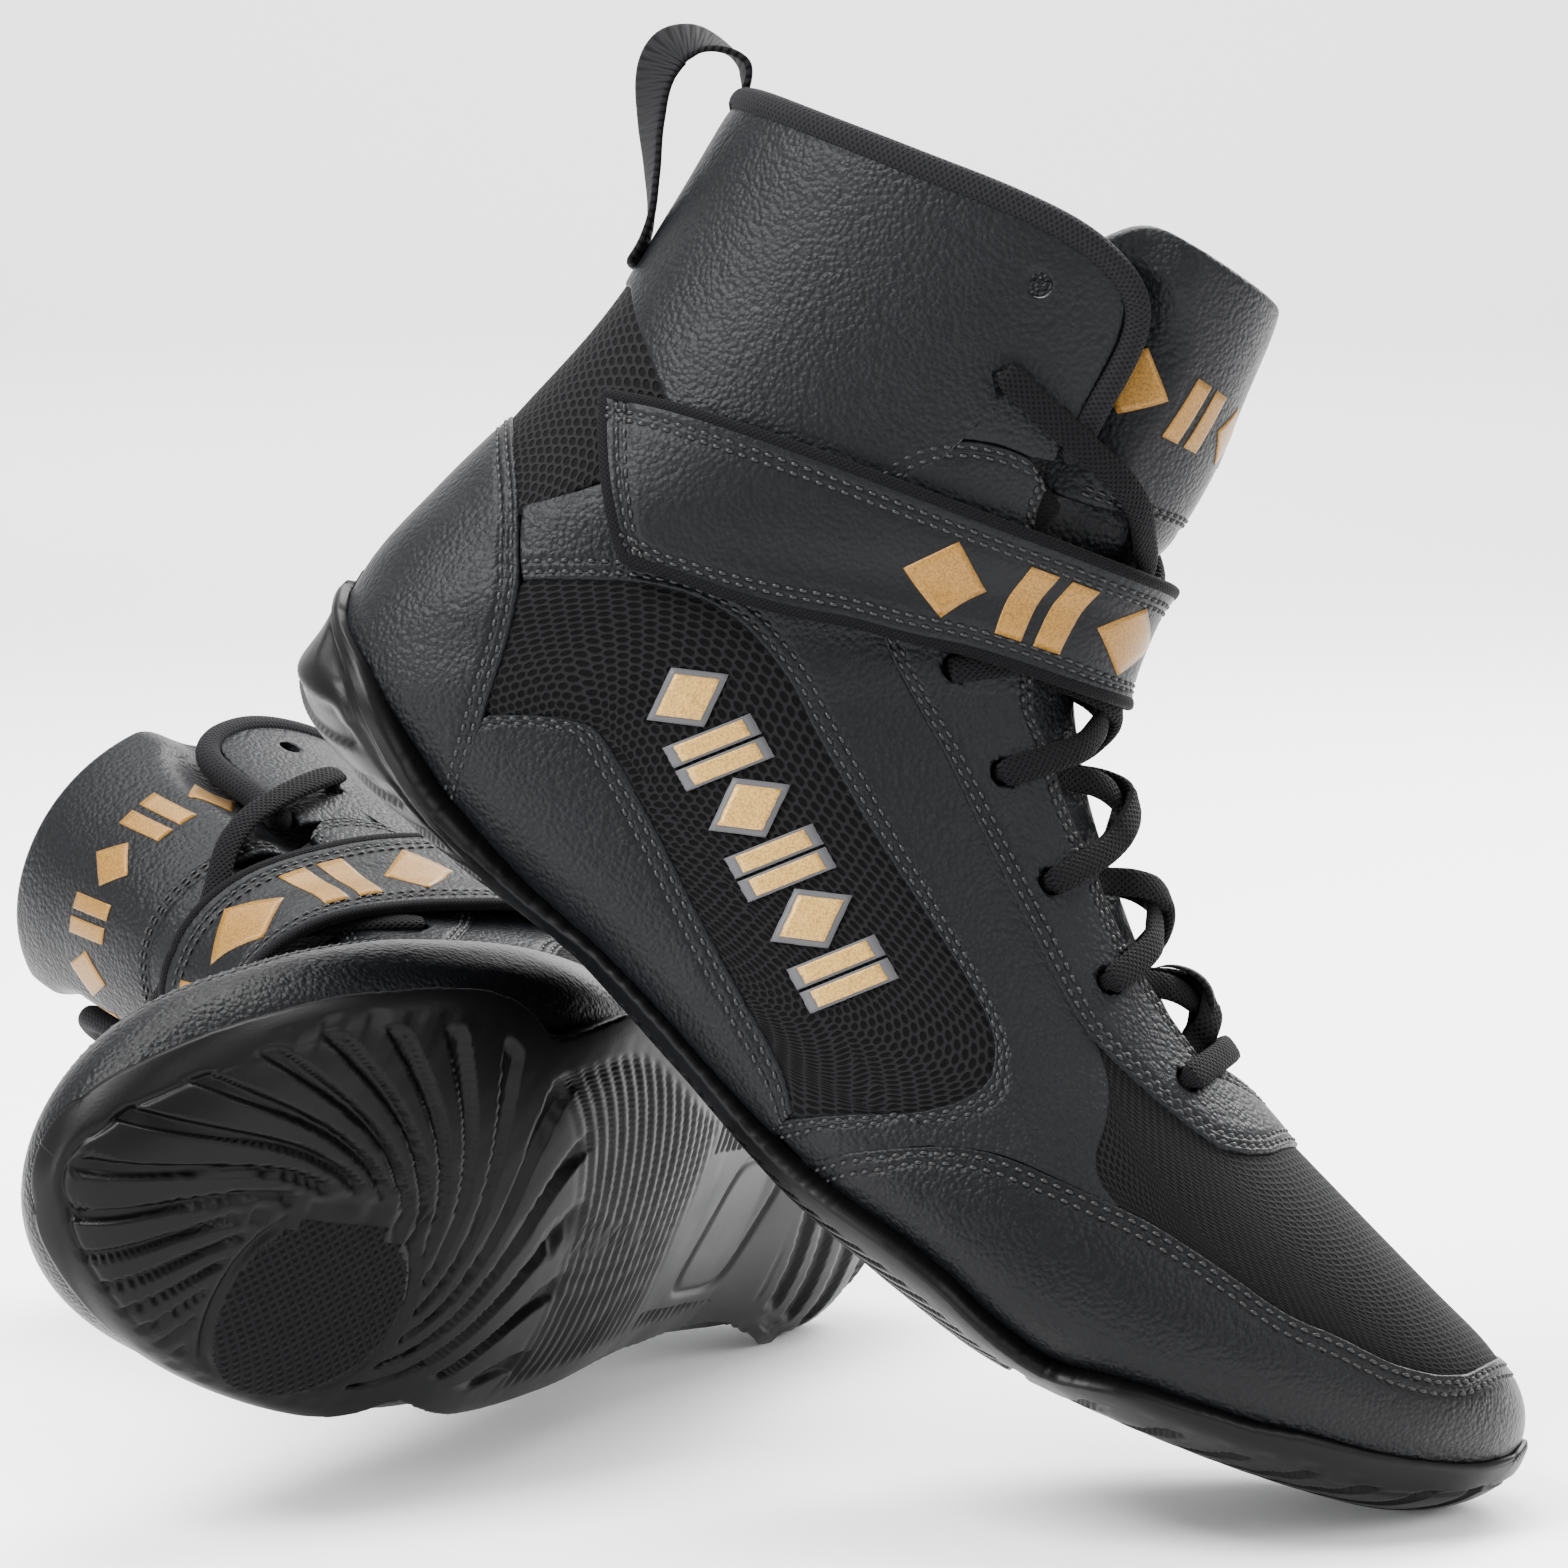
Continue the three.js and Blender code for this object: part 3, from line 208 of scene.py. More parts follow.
def from_side(points):
    """(s, |th|) of the points of the last that are seen at x, z from the side."""
    p = np.atleast_2d(np.asarray(points, float))
    t0, z0, t1, z1 = (_GROWS[None, :, k] for k in range(4))
    dx, dz = t1 - t0, z1 - z0
    ex, ez = p[:, :1] - t0, p[:, 1:2] - z0
    value = dx * ez - dz * ex
    t = (ex * dx + ez * dz) / np.maximum(dx * dx + dz * dz, 1e-9)
    cross = (value[:, :-1] * value[:, 1:] <= 0) & (t[:, :-1] > -0.25) & (t[:, :-1] < 1.25)
    score = np.where(cross, np.abs(t[:, :-1] - 0.5), 9)
    k = score.argmin(1)
    rows = np.arange(len(p))
    v0, v1 = value[rows, k], value[rows, k + 1]
    s = _GRID[k] + 0.02 * v0 / np.where(v0 == v1, 1, v0 - v1)
    tt = np.clip(t[rows, k], 0, 1)
    r = section(s)
    m, pe, qe = r[:, 7], r[:, 8], r[:, 9]
    top = np.arccos(np.clip((1 - tt / m), 0, 1) ** (pe / 2))
    low = PI / 2 + np.arcsin(np.clip((tt - m) / (1 - m), 0, 1) ** (qe / 2))
    return np.stack([s, np.where(tt <= m, top, low)], 1)


def spline(points, per=14):
    """A smooth line through points of any dimension."""
    p = np.asarray(points, float)
    if len(p) < 3:
        return np.array([p[0] + (p[-1] - p[0]) * u for u in np.linspace(0, 1, per * 2)])
    q = np.vstack([2 * p[0] - p[1], p, 2 * p[-1] - p[-2]])
    out = []
    for i in range(len(p) - 1):
        p0, p1, p2, p3 = q[i:i + 4]
        d1 = np.linalg.norm(p2 - p1) + 1e-9
        m1 = (p2 - p0) * d1 / (np.linalg.norm(p1 - p0) + d1)
        m2 = (p3 - p1) * d1 / (np.linalg.norm(p3 - p2) + d1)
        for k in range(per):
            u = k / per
            out.append((2 * u ** 3 - 3 * u * u + 1) * p1 + (u ** 3 - 2 * u * u + u) * m1
                       + (3 * u * u - 2 * u ** 3) * p2 + (u ** 3 - u * u) * m2)
    out.append(p[-1])
    return np.array(out)


def side(points, per=14):
    """A smooth seam of the outer side, given as x, z seen from the side, as a list of (s, -|th|)."""
    c = from_side(spline(points, per))
    c[:, 1] *= -1
    return c


def join(*curves):
    return np.vstack(curves)


def mirrored(c):
    return c * np.array([1, -1])


def across(c, centre=0.0):
    """Carries a seam over the ridge (centre 0) or round the back (centre -pi) to the inner side."""
    other = c[::-1].copy()
    other[:, 1] = 2 * centre - other[:, 1]
    return np.vstack([c, other])


def ridge(x, z):
    return np.array([[station(x, z), -1e-4]])


def lengths(c):
    p = last_point(c[:, 0], c[:, 1])
    return np.concatenate([[0], np.cumsum(np.linalg.norm(np.diff(p, axis=0), axis=1))])


def at_lengths(c, run, d):
    return np.stack([np.interp(d, run, c[:, 0]), np.interp(d, run, c[:, 1])], 1)


def evenly(c, count):
    run = lengths(c)
    return at_lengths(c, run, np.linspace(0, run[-1], count))


def station(x, z):
    return from_side([(x, z)])[0][0]


def cut(c, a, b):
    """The part of a curve between the places nearest to two side-view points (or None for an end)."""
    def place(q):
        s, th = from_side([q])[0]
        target = last_point(s, -th)
        return int(np.argmin(np.linalg.norm(last_point(c[:, 0], c[:, 1]) - target, axis=1)))
    i = 0 if a is None else place(a)
    j = len(c) - 1 if b is None else place(b)
    return c[i:j + 1] if i <= j else c[j:i + 1][::-1]


# ---- seam lines of the outer side, seen from the side (x, z) ----
RAND = [
    (-27, 28.5), (-20, 21), (-10, 17.5), (0, 14.5), (10, 12), (20, 10), (40, 8.3), (60, 8.6),
    (75, 8), (90, 6.8), (104, 6), (115, 6.2), (125, 7.4), (140, 9.8), (150, 10.5), (160, 10.3),
    (170, 11), (176, 12.6), (181, 15.5), (188, 19.5), (200, 25), (210, 29.5), (220, 35),
    (230, 40), (240, 46), (248, 52), (253, 57.5),
]
COUNTER_TOP = [
    (-25.5, 71), (-12, 60.5), (-5, 53.5), (0, 48.5), (6, 39), (10, 31), (15, 21), (20, 10.5),
]
ACHILLES_TOP = [(-26, 105), (-20, 101), (-10, 96), (0, 90), (4, 85)]
WINDOW_TOP = [
    (0, 49.5), (8, 57), (17, 64.5), (27, 70), (37, 72), (50, 70.5), (60, 67), (80, 61),
    (100, 56), (115, 52), (124, 48.5), (128.5, 44), (129.5, 40), (127, 33), (122, 26),
    (115, 19), (108, 11), (104.5, 6.5),
]
SADDLE_TOP = [
    (13, 26.5), (20, 33), (25, 36.5), (29, 38.6), (33, 38.5), (40, 36.5), (55, 31.5), (70, 26),
    (85, 21), (100, 16), (107, 11.5),
]
FACING_ARCH = [(58, 131.5), (54, 132.5), (45, 128), (38, 121), (35, 113), (36, 106), (40, 100)]
FACING_SEAM = [
    (40, 100), (50, 93.5), (60, 87.5), (80, 81), (100, 73.5), (120, 66), (130, 62.5),
    (138, 60.3),
]
FACING_FRONT = [(138, 60.3), (150, 60.1), (160, 60.5), (170, 61.8), (175, 64.5), (179, 68)]
QUARTER_FRONT = [(140, 60), (146, 56), (150, 51), (153, 45), (157, 42), (163, 41)]
THROAT = [
    (60.5, 130.5), (63, 125), (80, 107), (88, 98.5), (95, 95), (105, 89.5), (115, 85.5),
    (125, 80.5), (135, 77), (145, 74.3), (157, 71.6),
]
TOE_TOP = [
    (114, 6), (116, 8), (120, 14), (128, 23), (135, 29.5), (142, 33.5), (150, 36.5),
    (160, 39.8), (170, 43), (180, 45), (190, 46.5), (200, 48), (212, 52), (222, 55), (230, 59),
    (235, 63),
]
CUFF_TOP = [(-34, 143), (-20, 148), (0, 155), (20, 163), (33, 166.8), (42, 167.2), (48, 164)]
CUFF_FRONT = [(48, 164), (51, 158), (53, 150), (55, 142), (56.5, 134)]
COLLAR_LINE = [
    (60.5, 137), (58.6, 143), (57, 149), (55.2, 157), (52.6, 164), (49, 168), (43, 169.9),
    (33, 169.4), (20, 165.6), (0, 158), (-20, 150.8), (-34.6, 146.3),
]
STRAP_TOP = [(-11, 86), (0, 93), (20, 103), (40, 112), (60, 121), (75, 128), (88.5, 134.5)]
STRAP_BOTTOM = [
    (12, 66), (20, 70), (30, 74.5), (40, 80), (50, 86.5), (60, 92), (70, 98), (85, 105),
    (97.5, 109.5),
]
EYELETS = [(157.5, 66.5), (133.5, 70), (112.5, 76.5), (91.5, 85.5), (71, 94)]
CUFF_EYELETS = [(41, 140), (33.5, 157.5)]
PULL_LOOP = [
    (-35.2, 143.5), (-36, 148), (-39.5, 151.6), (-44.5, 151.6), (-49.8, 149), (-52.5, 144.5),
    (-51, 138.5), (-45.5, 131.5), (-38.6, 124.5), (-33.2, 118.5), (-30.4, 113.5), (-29.1, 108),
]
TONGUE_WING = [(49, 175), (54, 171), (58, 165), (60.5, 157), (62, 149), (63.5, 139.5), (64, 136)]
# share of the sole's full thickness at each station
SOLE_SHARE = [0.5, 0.7, 0.85, 0.88, 0.86, 0.8, 0.9, 0.96, 0.84, 0.5, 0.42, 0.95, 1.15, 1.3, 1.1, 0.8]


# ---- materials ----
def material(name, color, roughness, sheen=0.0, specular=0.09):
    m = bpy.data.materials.new(name)
    m.use_nodes = True
    b = m.node_tree.nodes["Principled BSDF"]
    b.inputs["Base Color"].default_value = (*color, 1)
    b.inputs["Roughness"].default_value = roughness
    b.inputs["Specular IOR Level"].default_value = specular
    b.inputs["Sheen Weight"].default_value = sheen
    b.inputs["Sheen Roughness"].default_value = 0.4
    return m


class Nodes:
    """Small helper to wire shader nodes."""

    def __init__(self, m):
        self.tree = m.node_tree
        self.shader = m.node_tree.nodes["Principled BSDF"]

    def new(self, kind, **values):
        n = self.tree.nodes.new(kind)
        for key, value in values.items():
            setattr(n, key, value)
        return n

    def link(self, a, b):
        self.tree.links.new(a, b)

    def math(self, op, a, b=None, c=None, clamp=False):
        n = self.new("ShaderNodeMath", operation=op, use_clamp=clamp)
        for k, v in enumerate((a, b, c)):
            if v is None:
                continue
            if isinstance(v, (int, float)):
                n.inputs[k].default_value = v
            else:
                self.link(v, n.inputs[k])
        return n.outputs[0]

    def noise(self, vector, scale, detail=2.0, rough=0.5):
        n = self.new("ShaderNodeTexNoise")
        n.inputs["Scale"].default_value = scale
        n.inputs["Detail"].default_value = detail
        n.inputs["Roughness"].default_value = rough
        self.link(vector, n.inputs["Vector"])
        return n.outputs["Fac"]

    def bump(self, height, strength, distance, normal=None):
        n = self.new("ShaderNodeBump")
        n.inputs["Strength"].default_value = strength
        n.inputs["Distance"].default_value = distance
        self.link(height, n.inputs["Height"])
        if normal is not None:
            self.link(normal, n.inputs["Normal"])
        return n.outputs["Normal"]

    def ramp(self, fac, stops):
        n = self.new("ShaderNodeValToRGB")
        while len(n.color_ramp.elements) < len(stops):
            n.color_ramp.elements.new(0.5)
        for e, (pos, col) in zip(n.color_ramp.elements, stops):
            e.position = pos
            e.color = (*col, 1)
        self.link(fac, n.inputs[0])
        return n.outputs[0]


def leather_material(name, color, roughness, grain=0.3):
    m = material(name, color, roughness, specular=0.11)
    n = Nodes(m)
    where = n.new("ShaderNodeTexCoord").outputs["Object"]
    cells = n.new("ShaderNodeTexVoronoi", feature="SMOOTH_F1")
    cells.inputs["Scale"].default_value = 950
    cells.inputs["Smoothness"].default_value = 0.35
    n.link(where, cells.inputs["Vector"])
    fine = n.noise(where, 2600, 3)
    slow = n.noise(where, 60, 3)
    pebble = n.math("MULTIPLY_ADD", cells.outputs["Distance"], -1.0, n.math("MULTIPLY", fine, 0.5))
    normal = n.bump(slow, 0.25, 0.0006)
    n.link(n.bump(pebble, grain, 0.0004, normal), n.shader.inputs["Normal"])
    tone = n.math("MULTIPLY_ADD", cells.outputs["Distance"], 0.45, n.math("MULTIPLY", slow, 0.55))
    dark = tuple(c * 0.72 for c in color)
    light = tuple(c * 1.25 for c in color)
    n.link(n.ramp(tone, [(0.3, light), (0.8, dark)]), n.shader.inputs["Base Color"])
    rough = n.math("MULTIPLY_ADD", n.noise(where, 300, 2), 0.16, roughness - 0.08)
    n.link(rough, n.shader.inputs["Roughness"])
    return m


def mesh_material(name, thread, hole, along, around):
    """Air mesh: staggered oval holes, not cut but painted near-black as painted shade; UVs are in
    millimetres.
    """
    m = material(name, thread, 0.7, sheen=0.01, specular=0.05)
    n = Nodes(m)
    uv = n.new("ShaderNodeSeparateXYZ")
    n.link(n.new("ShaderNodeTexCoord").outputs["UV"], uv.inputs[0])
    row = n.math("DIVIDE", uv.outputs[1], around)
    odd = n.math("MULTIPLY", n.math("FLOORED_MODULO", n.math("FLOOR", row), 2.0), 0.5)
    col = n.math("ADD", n.math("DIVIDE", uv.outputs[0], along), odd)
    dx = n.math("DIVIDE", n.math("SUBTRACT", n.math("FRACT", col), 0.5), 0.40)
    dy = n.math("DIVIDE", n.math("SUBTRACT", n.math("FRACT", row), 0.5), 0.40)
    d = n.math("SQRT", n.math("ADD", n.math("MULTIPLY", dx, dx), n.math("MULTIPLY", dy, dy)))
    solid = n.new("ShaderNodeMapRange", interpolation_type="SMOOTHSTEP")
    solid.inputs["From Min"].default_value = 0.75
    solid.inputs["From Max"].default_value = 1.15
    n.link(d, solid.inputs["Value"])
    fibre = n.noise(n.new("ShaderNodeTexCoord").outputs["Object"], 3200, 2)
    height = n.math("MULTIPLY_ADD", fibre, 0.25, solid.outputs[0])
    n.link(n.bump(height, 0.9, 0.0006), n.shader.inputs["Normal"])
    # painted shade: the holes get a near-black colour standing in for the shade inside them
    n.link(n.ramp(solid.outputs[0], [(0.0, hole), (1.0, thread)]), n.shader.inputs["Base Color"])
    return m


def weave_material(name, color, pitch_u, pitch_v, strength=0.7, light=1.8):
    """Woven or ribbed textile; UVs are in millimetres, u along and v across. Its colour holds painted shade
    in the weave's hollows and painted light on its crests.
    """
    m = material(name, color, 0.75, sheen=0.012, specular=0.05)
    n = Nodes(m)
    uv = n.new("ShaderNodeSeparateXYZ")
    n.link(n.new("ShaderNodeTexCoord").outputs["UV"], uv.inputs[0])
    a = n.math("MULTIPLY", uv.outputs[0], 2 * PI / pitch_u)
    b = n.math("MULTIPLY", uv.outputs[1], 2 * PI / pitch_v)
    one = n.math("SINE", n.math("ADD", a, b))
    two = n.math("SINE", n.math("SUBTRACT", a, b))
    h = n.math("MULTIPLY_ADD", n.math("MAXIMUM", one, two), 0.5, 0.5)
    n.link(n.bump(h, strength, 0.0004), n.shader.inputs["Normal"])
    # painted shade and light: the colour follows the weave's height, dark in the hollows and light on the
    # crests
    dark = tuple(c * 0.45 for c in color)
    crest_light = tuple(c * light for c in color)
    n.link(n.ramp(h, [(0.2, dark), (1.0, crest_light)]), n.shader.inputs["Base Color"])
    return m


def rubber_material(name, color, roughness):
    m = material(name, color, roughness)
    n = Nodes(m)
    where = n.new("ShaderNodeTexCoord").outputs["Object"]
    n.link(n.bump(n.noise(where, 1800, 3), 0.12, 0.0003), n.shader.inputs["Normal"])
    wear = n.math("MULTIPLY_ADD", n.noise(where, 90, 3), 0.18, roughness - 0.09)
    n.link(wear, n.shader.inputs["Roughness"])
    return m


def gold_material(name, color):
    m = material(name, color, 0.42, specular=0.3)
    n = Nodes(m)
    n.shader.inputs["Metallic"].default_value = 0.25
    where = n.new("ShaderNodeTexCoord").outputs["Object"]
    grit = n.noise(where, 2200, 2)
    light = tuple(min(1, c * 1.25) for c in color)
    dark = tuple(c * 0.7 for c in color)
    n.link(n.ramp(grit, [(0.35, dark), (0.62, light)]), n.shader.inputs["Base Color"])
    n.link(n.bump(grit, 0.35, 0.0002), n.shader.inputs["Normal"])
    return m


# near-black painted shade for the mesh holes
HOLE_SHADE = (0.0002, 0.0002, 0.0002)
MATS = {
    "leather": leather_material("leather", (0.0022, 0.0024, 0.0031), 0.42, 0.6),
    "strap_leather": leather_material("strap_leather", (0.0021, 0.0023, 0.0029), 0.45, 0.4),
    "toe_leather": leather_material("toe_leather", (0.0016, 0.0017, 0.0021), 0.38, 0.55),
    "mesh": mesh_material("mesh", (0.0050, 0.0050, 0.0055), HOLE_SHADE, 3.1, 1.55),
    "vamp_mesh": mesh_material("vamp_mesh", (0.0042, 0.0042, 0.0046), HOLE_SHADE, 1.9, 1.5),
    "rubber": rubber_material("rubber", (0.0014, 0.0014, 0.0016), 0.38),
    "shank": rubber_material("shank", (0.0030, 0.0031, 0.0035), 0.40),
    # for the weaves, the last two numbers are the bump's strength and how far the painted light on the
    # crests lifts the colour
    "sole_disc": weave_material("sole_disc", (0.0018, 0.0018, 0.0020), 2.4, 2.4, 1.0, 2.4),
    "lining": weave_material("lining", (0.0020, 0.0020, 0.0022), 1.6, 1.6, 0.4, 1.4),
    "knit": weave_material("knit", (0.0050, 0.0050, 0.0056), 1.1, 1.8, 0.5, 1.6),
    "lace": weave_material("lace", (0.0020, 0.0020, 0.0023), 1.5, 1.3, 1.0, 2.0),
    "webbing": weave_material("webbing", (0.0022, 0.0022, 0.0025), 1.6, 40, 0.9, 2.2),
    "binding": weave_material("binding", (0.0018, 0.0018, 0.0021), 1.0, 1.0, 0.5, 1.8),
    "thread": material("thread", (0.0034, 0.0034, 0.0038), 0.42, specular=0.25),
    "hooks": material("hooks", (0.0015, 0.0015, 0.0017), 0.9, specular=0.05),
    "gold": gold_material("gold", (0.16, 0.078, 0.0105)),
    "pale_gold": gold_material("pale_gold", (0.30, 0.175, 0.043)),
    "film": material("film", (0.05, 0.05, 0.053), 0.35),
}


# ---- boots: placing and adding meshes ----
class Boot:
    """One boot's frame: meshes are made in its own millimetres and set down by one rigid matrix."""

    def __init__(self, name):
        self.name = name
        self.flip = -1 if name == "left" else 1
        toe, inner = (Vector(v) for v in TURNS[name])
        x = toe.normalized()
        y = (inner - x * x.dot(inner)).normalized()
        z = x.cross(y)
        turn = Matrix((x, y, z)).transposed()
        # the tongue's hinge is a place known both in the record and on the last
        joints = frame["record"]["behaviour"]["joints"]
        joint = next(j for j in joints if j["name"] == f"{name}_tongue_flex")
        hinge = (np.array([TONGUE_HEM + 0.06]), np.array([0.0]))
        hem = last_point(*hinge)[0] - last_normal(*hinge)[0] * 1.2
        here = turn @ Vector((hem[0], hem[1] * self.flip, hem[2])) * MM
        place = Vector(joint["pos_m"]) - here
        self.matrix = Matrix.Translation(place) @ turn.to_4x4()

    def world(self, p):
        return self.matrix @ Vector((p[0] * MM, p[1] * self.flip * MM, p[2] * MM))

    def add(self, name, verts, faces, uvs, mat, nodes=(), body="boot", bend=None, picks=None,
            holes=None):
        v = np.asarray(verts, float).reshape(-1, 3) * MM
        v[:, 1] *= self.flip
        f = np.asarray(faces, int)
        if self.flip < 0:
            f = f[:, ::-1]
        mesh = bpy.data.meshes.new(f"{self.name}_{name}")
        mesh.from_pydata(v.tolist(), [], f.tolist())
        if uvs is not None:
            layer = mesh.uv_layers.new(name="UVMap")
            uv = np.asarray(uvs, float).reshape(-1, 2)
            layer.data.foreach_set("uv", uv[f.ravel()].ravel())
        mesh.polygons.foreach_set("use_smooth", [True] * len(mesh.polygons))
        mats = mat if isinstance(mat, (list, tuple)) else [mat]
        for key in mats:
            mesh.materials.append(MATS[key])
        if picks is not None:
            mesh.polygons.foreach_set("material_index", np.asarray(picks, int).tolist())
        mesh.transform(self.matrix)
        mesh.validate()
        mesh.update()
        obj = bpy.data.objects.new(f"{self.name}_{name}", mesh)
        bpy.context.scene.collection.objects.link(obj)
        if holes is not None:
            punch(self, obj, *holes)
        if nodes:
            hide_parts(*[f"{self.name}_{n}" for n in nodes])
        if bend is None:
            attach(obj, f"{self.name}_{body}")
        else:
            other, start, end = bend
            bpy.context.view_layer.update()
            self.world(start)
            self.world(end)
            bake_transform(obj)
        return obj

    def sew(self, name, lines, bend=None):
        self.add(name, *stitches(lines), None, "thread", bend=bend)


def punch(boot, obj, holes, radius):
    """Cuts round eyelet holes through a piece, before it rides on anything."""
    bm = bmesh.new()
    for s, th in holes:
        c = last_point(s, th)
        n = last_normal(s, th)
        turn = Vector(n).to_track_quat("Z", "Y").to_matrix().to_4x4()
        place = Matrix.Translation(Vector(c) * MM) @ turn
        if boot.flip < 0:
            place = Matrix.Scale(-1, 4, (0, 1, 0)) @ place
        place = boot.matrix @ place
        bmesh.ops.create_cone(bm, cap_ends=True, segments=20, radius1=radius * MM, radius2=radius * MM,
                              depth=8 * MM, matrix=place)
    bmesh.ops.recalc_face_normals(bm, faces=bm.faces)
    cutter_mesh = bpy.data.meshes.new("cutter")
    bm.to_mesh(cutter_mesh)
    bm.free()
    cutter = bpy.data.objects.new("cutter", cutter_mesh)
    bpy.context.scene.collection.objects.link(cutter)
    cut_out = obj.modifiers.new("holes", "BOOLEAN")
    cut_out.operation = "DIFFERENCE"
    cut_out.object = cutter
    cut_out.solver = "EXACT"
    bpy.context.view_layer.update()
    done = bpy.data.meshes.new_from_object(obj.evaluated_get(bpy.context.evaluated_depsgraph_get()))
    obj.modifiers.clear()
    obj.data = done
    bpy.data.objects.remove(cutter)
    bpy.data.meshes.remove(cutter_mesh)


def grid_faces(nu, nv, base=0, flip=False):
    i, j = np.meshgrid(np.arange(nu - 1), np.arange(nv - 1), indexing="ij")
    a = base + i * nv + j
    quads = np.stack([a, a + nv, a + nv + 1, a + 1], -1).reshape(-1, 4)
    return quads[:, ::-1] if flip else quads


def shell(top, bottom, uv_top):
    """Closed body between two grids. The faces of the top grid point out along the last's normal."""
    nu, nv = top.shape[:2]
    n = nu * nv
    verts = np.vstack([top.reshape(-1, 3), bottom.reshape(-1, 3)])
    faces = [grid_faces(nu, nv), grid_faces(nu, nv, n, True)]
    rim = [i * nv for i in range(nu)] + [(nu - 1) * nv + j for j in range(1, nv)]
    rim += [i * nv + nv - 1 for i in range(nu - 2, -1, -1)] + [j for j in range(nv - 2, 0, -1)]
    r = np.array(rim)
    q = np.roll(r, -1)
    faces.append(np.stack([q, r, r + n, q + n], 1))
    # orient: compare one quad's normal with the direction from bottom to top
    i, j = nu // 2, nv // 2
    c = top[i, j]
    nrm = np.cross(top[min(i + 1, nu - 1), j] - c, top[i, min(j + 1, nv - 1)] - c)
    faces = np.vstack(faces)
    if np.dot(nrm, top[i, j] - bottom[i, j]) < 0:
        faces = faces[:, ::-1]
    uvs = np.vstack([uv_top.reshape(-1, 2), uv_top.reshape(-1, 2)])
    return verts, faces, uvs


EDGE = np.array([0, 0.22, 0.5, 0.85, 1.2, 1.55, 1.95, 2.4, 2.8, 3.2, 3.6, 4.1, 4.8, 5.8])


class Patch:
    """A panel between two seams, with rounded edges, sunk stitch lines and a slight puff."""

    def __init__(self, a, b, low, high, step=1.9, rows=(), over=(0, 0), puff=0.25, height=None):
        # rows: stitch lines as (edge, distance), the edge being a, b or s, the start
        self.rows = rows
        run_a, run_b = lengths(a), lengths(b)
        total = max(run_a[-1], run_b[-1])
        n_mid = max(int((total - 12) / step), 4)
        end = EDGE[-1] / total
        middle = np.linspace(end, 1 - end, n_mid + 2)[1:-1]
        fr = np.concatenate([EDGE / total, middle, 1 - EDGE[::-1] / total])
        pa = at_lengths(a, run_a, fr * run_a[-1])
        pb = at_lengths(b, run_b, fr * run_b[-1])
        w = np.linspace(0, 1, 25)
        line = pa[:, None] + (pb - pa)[:, None] * w[None, :, None]
        pts = last_point(line[..., 0], line[..., 1])
        steps = np.linalg.norm(np.diff(pts, axis=1), axis=2)
        run = np.concatenate([np.zeros((len(fr), 1)), np.cumsum(steps, 1)], 1)
        wide = run[:, -1]
        scale = np.minimum(1, 0.45 * wide / EDGE[-1])
        m_mid = max(int((wide.max() - 11) / step), 2)
        cols = []
        self.da = []
        for i in range(len(fr)):
            e = EDGE * scale[i]
            mid = np.linspace(e[-1], max(wide[i] - e[-1], e[-1]), m_mid + 2)[1:-1]
            d = np.concatenate([e, mid, wide[i] - e[::-1]])
            lo = -over[0]
            hi = wide[i] + over[1]
            d2 = lo + (hi - lo) * d / max(wide[i], 1e-6)
            frac = np.where(d2 < 0, d2 / max(wide[i], 1e-6), np.interp(d2, run[i], w))
            frac = np.where(d2 > wide[i], 1 + (d2 - wide[i]) / max(wide[i], 1e-6), frac)
            cols.append(frac)
            self.da.append(d)
        f = np.array(cols)
        self.da = np.array(self.da)
        self.db = wide[:, None] - self.da
        self.s = pa[:, :1] + (pb[:, :1] - pa[:, :1]) * f
        self.th = pa[:, 1:] + (pb[:, 1:] - pa[:, 1:]) * f
        along = fr * total
        self.ds = np.broadcast_to(along[:, None], self.da.shape)
        self.de = total - self.ds
        edge = np.minimum(np.minimum(self.da, self.db), np.minimum(self.ds, self.de))
        r = 0.75
        k = 1 - np.clip(edge / r, 0, 1)
        h = high + puff * (1 - np.exp(-edge / 3.0)) - r * (1 - np.sqrt(np.maximum(1 - k * k, 0)))
        fields = {"a": self.da, "b": self.db, "s": self.ds, "e": self.de}
        for which, distance in rows:
            h = h - 0.42 * np.exp(-((fields[which] - distance) / 0.5) ** 2)
        rise = 0 if height is None else height(self.s, self.th)
        self.h = h + rise
        self.low = low + rise + np.zeros_like(h)
        self.top = off(self.s, self.th, self.h)
        self.bottom = off(self.s, self.th, self.low)
        self.uv = np.stack([self.ds, self.da], -1)

    def body(self):
        return shell(self.top, self.bottom, self.uv)

    def stitch_lines(self):
        """Polylines of (point, normal) along each stitch row."""
        out = []
        for which, distance in self.rows:
            if which in "ab":
                d = self.da if which == "a" else self.db[:, ::-1]
                s = self.s if which == "a" else self.s[:, ::-1]
                th = self.th if which == "a" else self.th[:, ::-1]
                h = self.h if which == "a" else self.h[:, ::-1]

                def pick(field):
                    return np.array([np.interp(distance, d[i], field[i]) for i in range(len(d))])

                out.append((pick(s), pick(th), pick(h)))
            else:
                field = self.ds[:, 0] if which == "s" else self.de[::-1, 0]
                order = slice(None) if which == "s" else slice(None, None, -1)
                def pick(g):
                    return np.array([np.interp(distance, field, g[order, j]) for j in range(g.shape[1])])

                keep = slice(3, -3)
                out.append((pick(self.s)[keep], pick(self.th)[keep], pick(self.h)[keep]))
        return out


STITCH_PITCH = 2.6
STITCH_LONG = 1.9
STITCH_THICK = 0.9


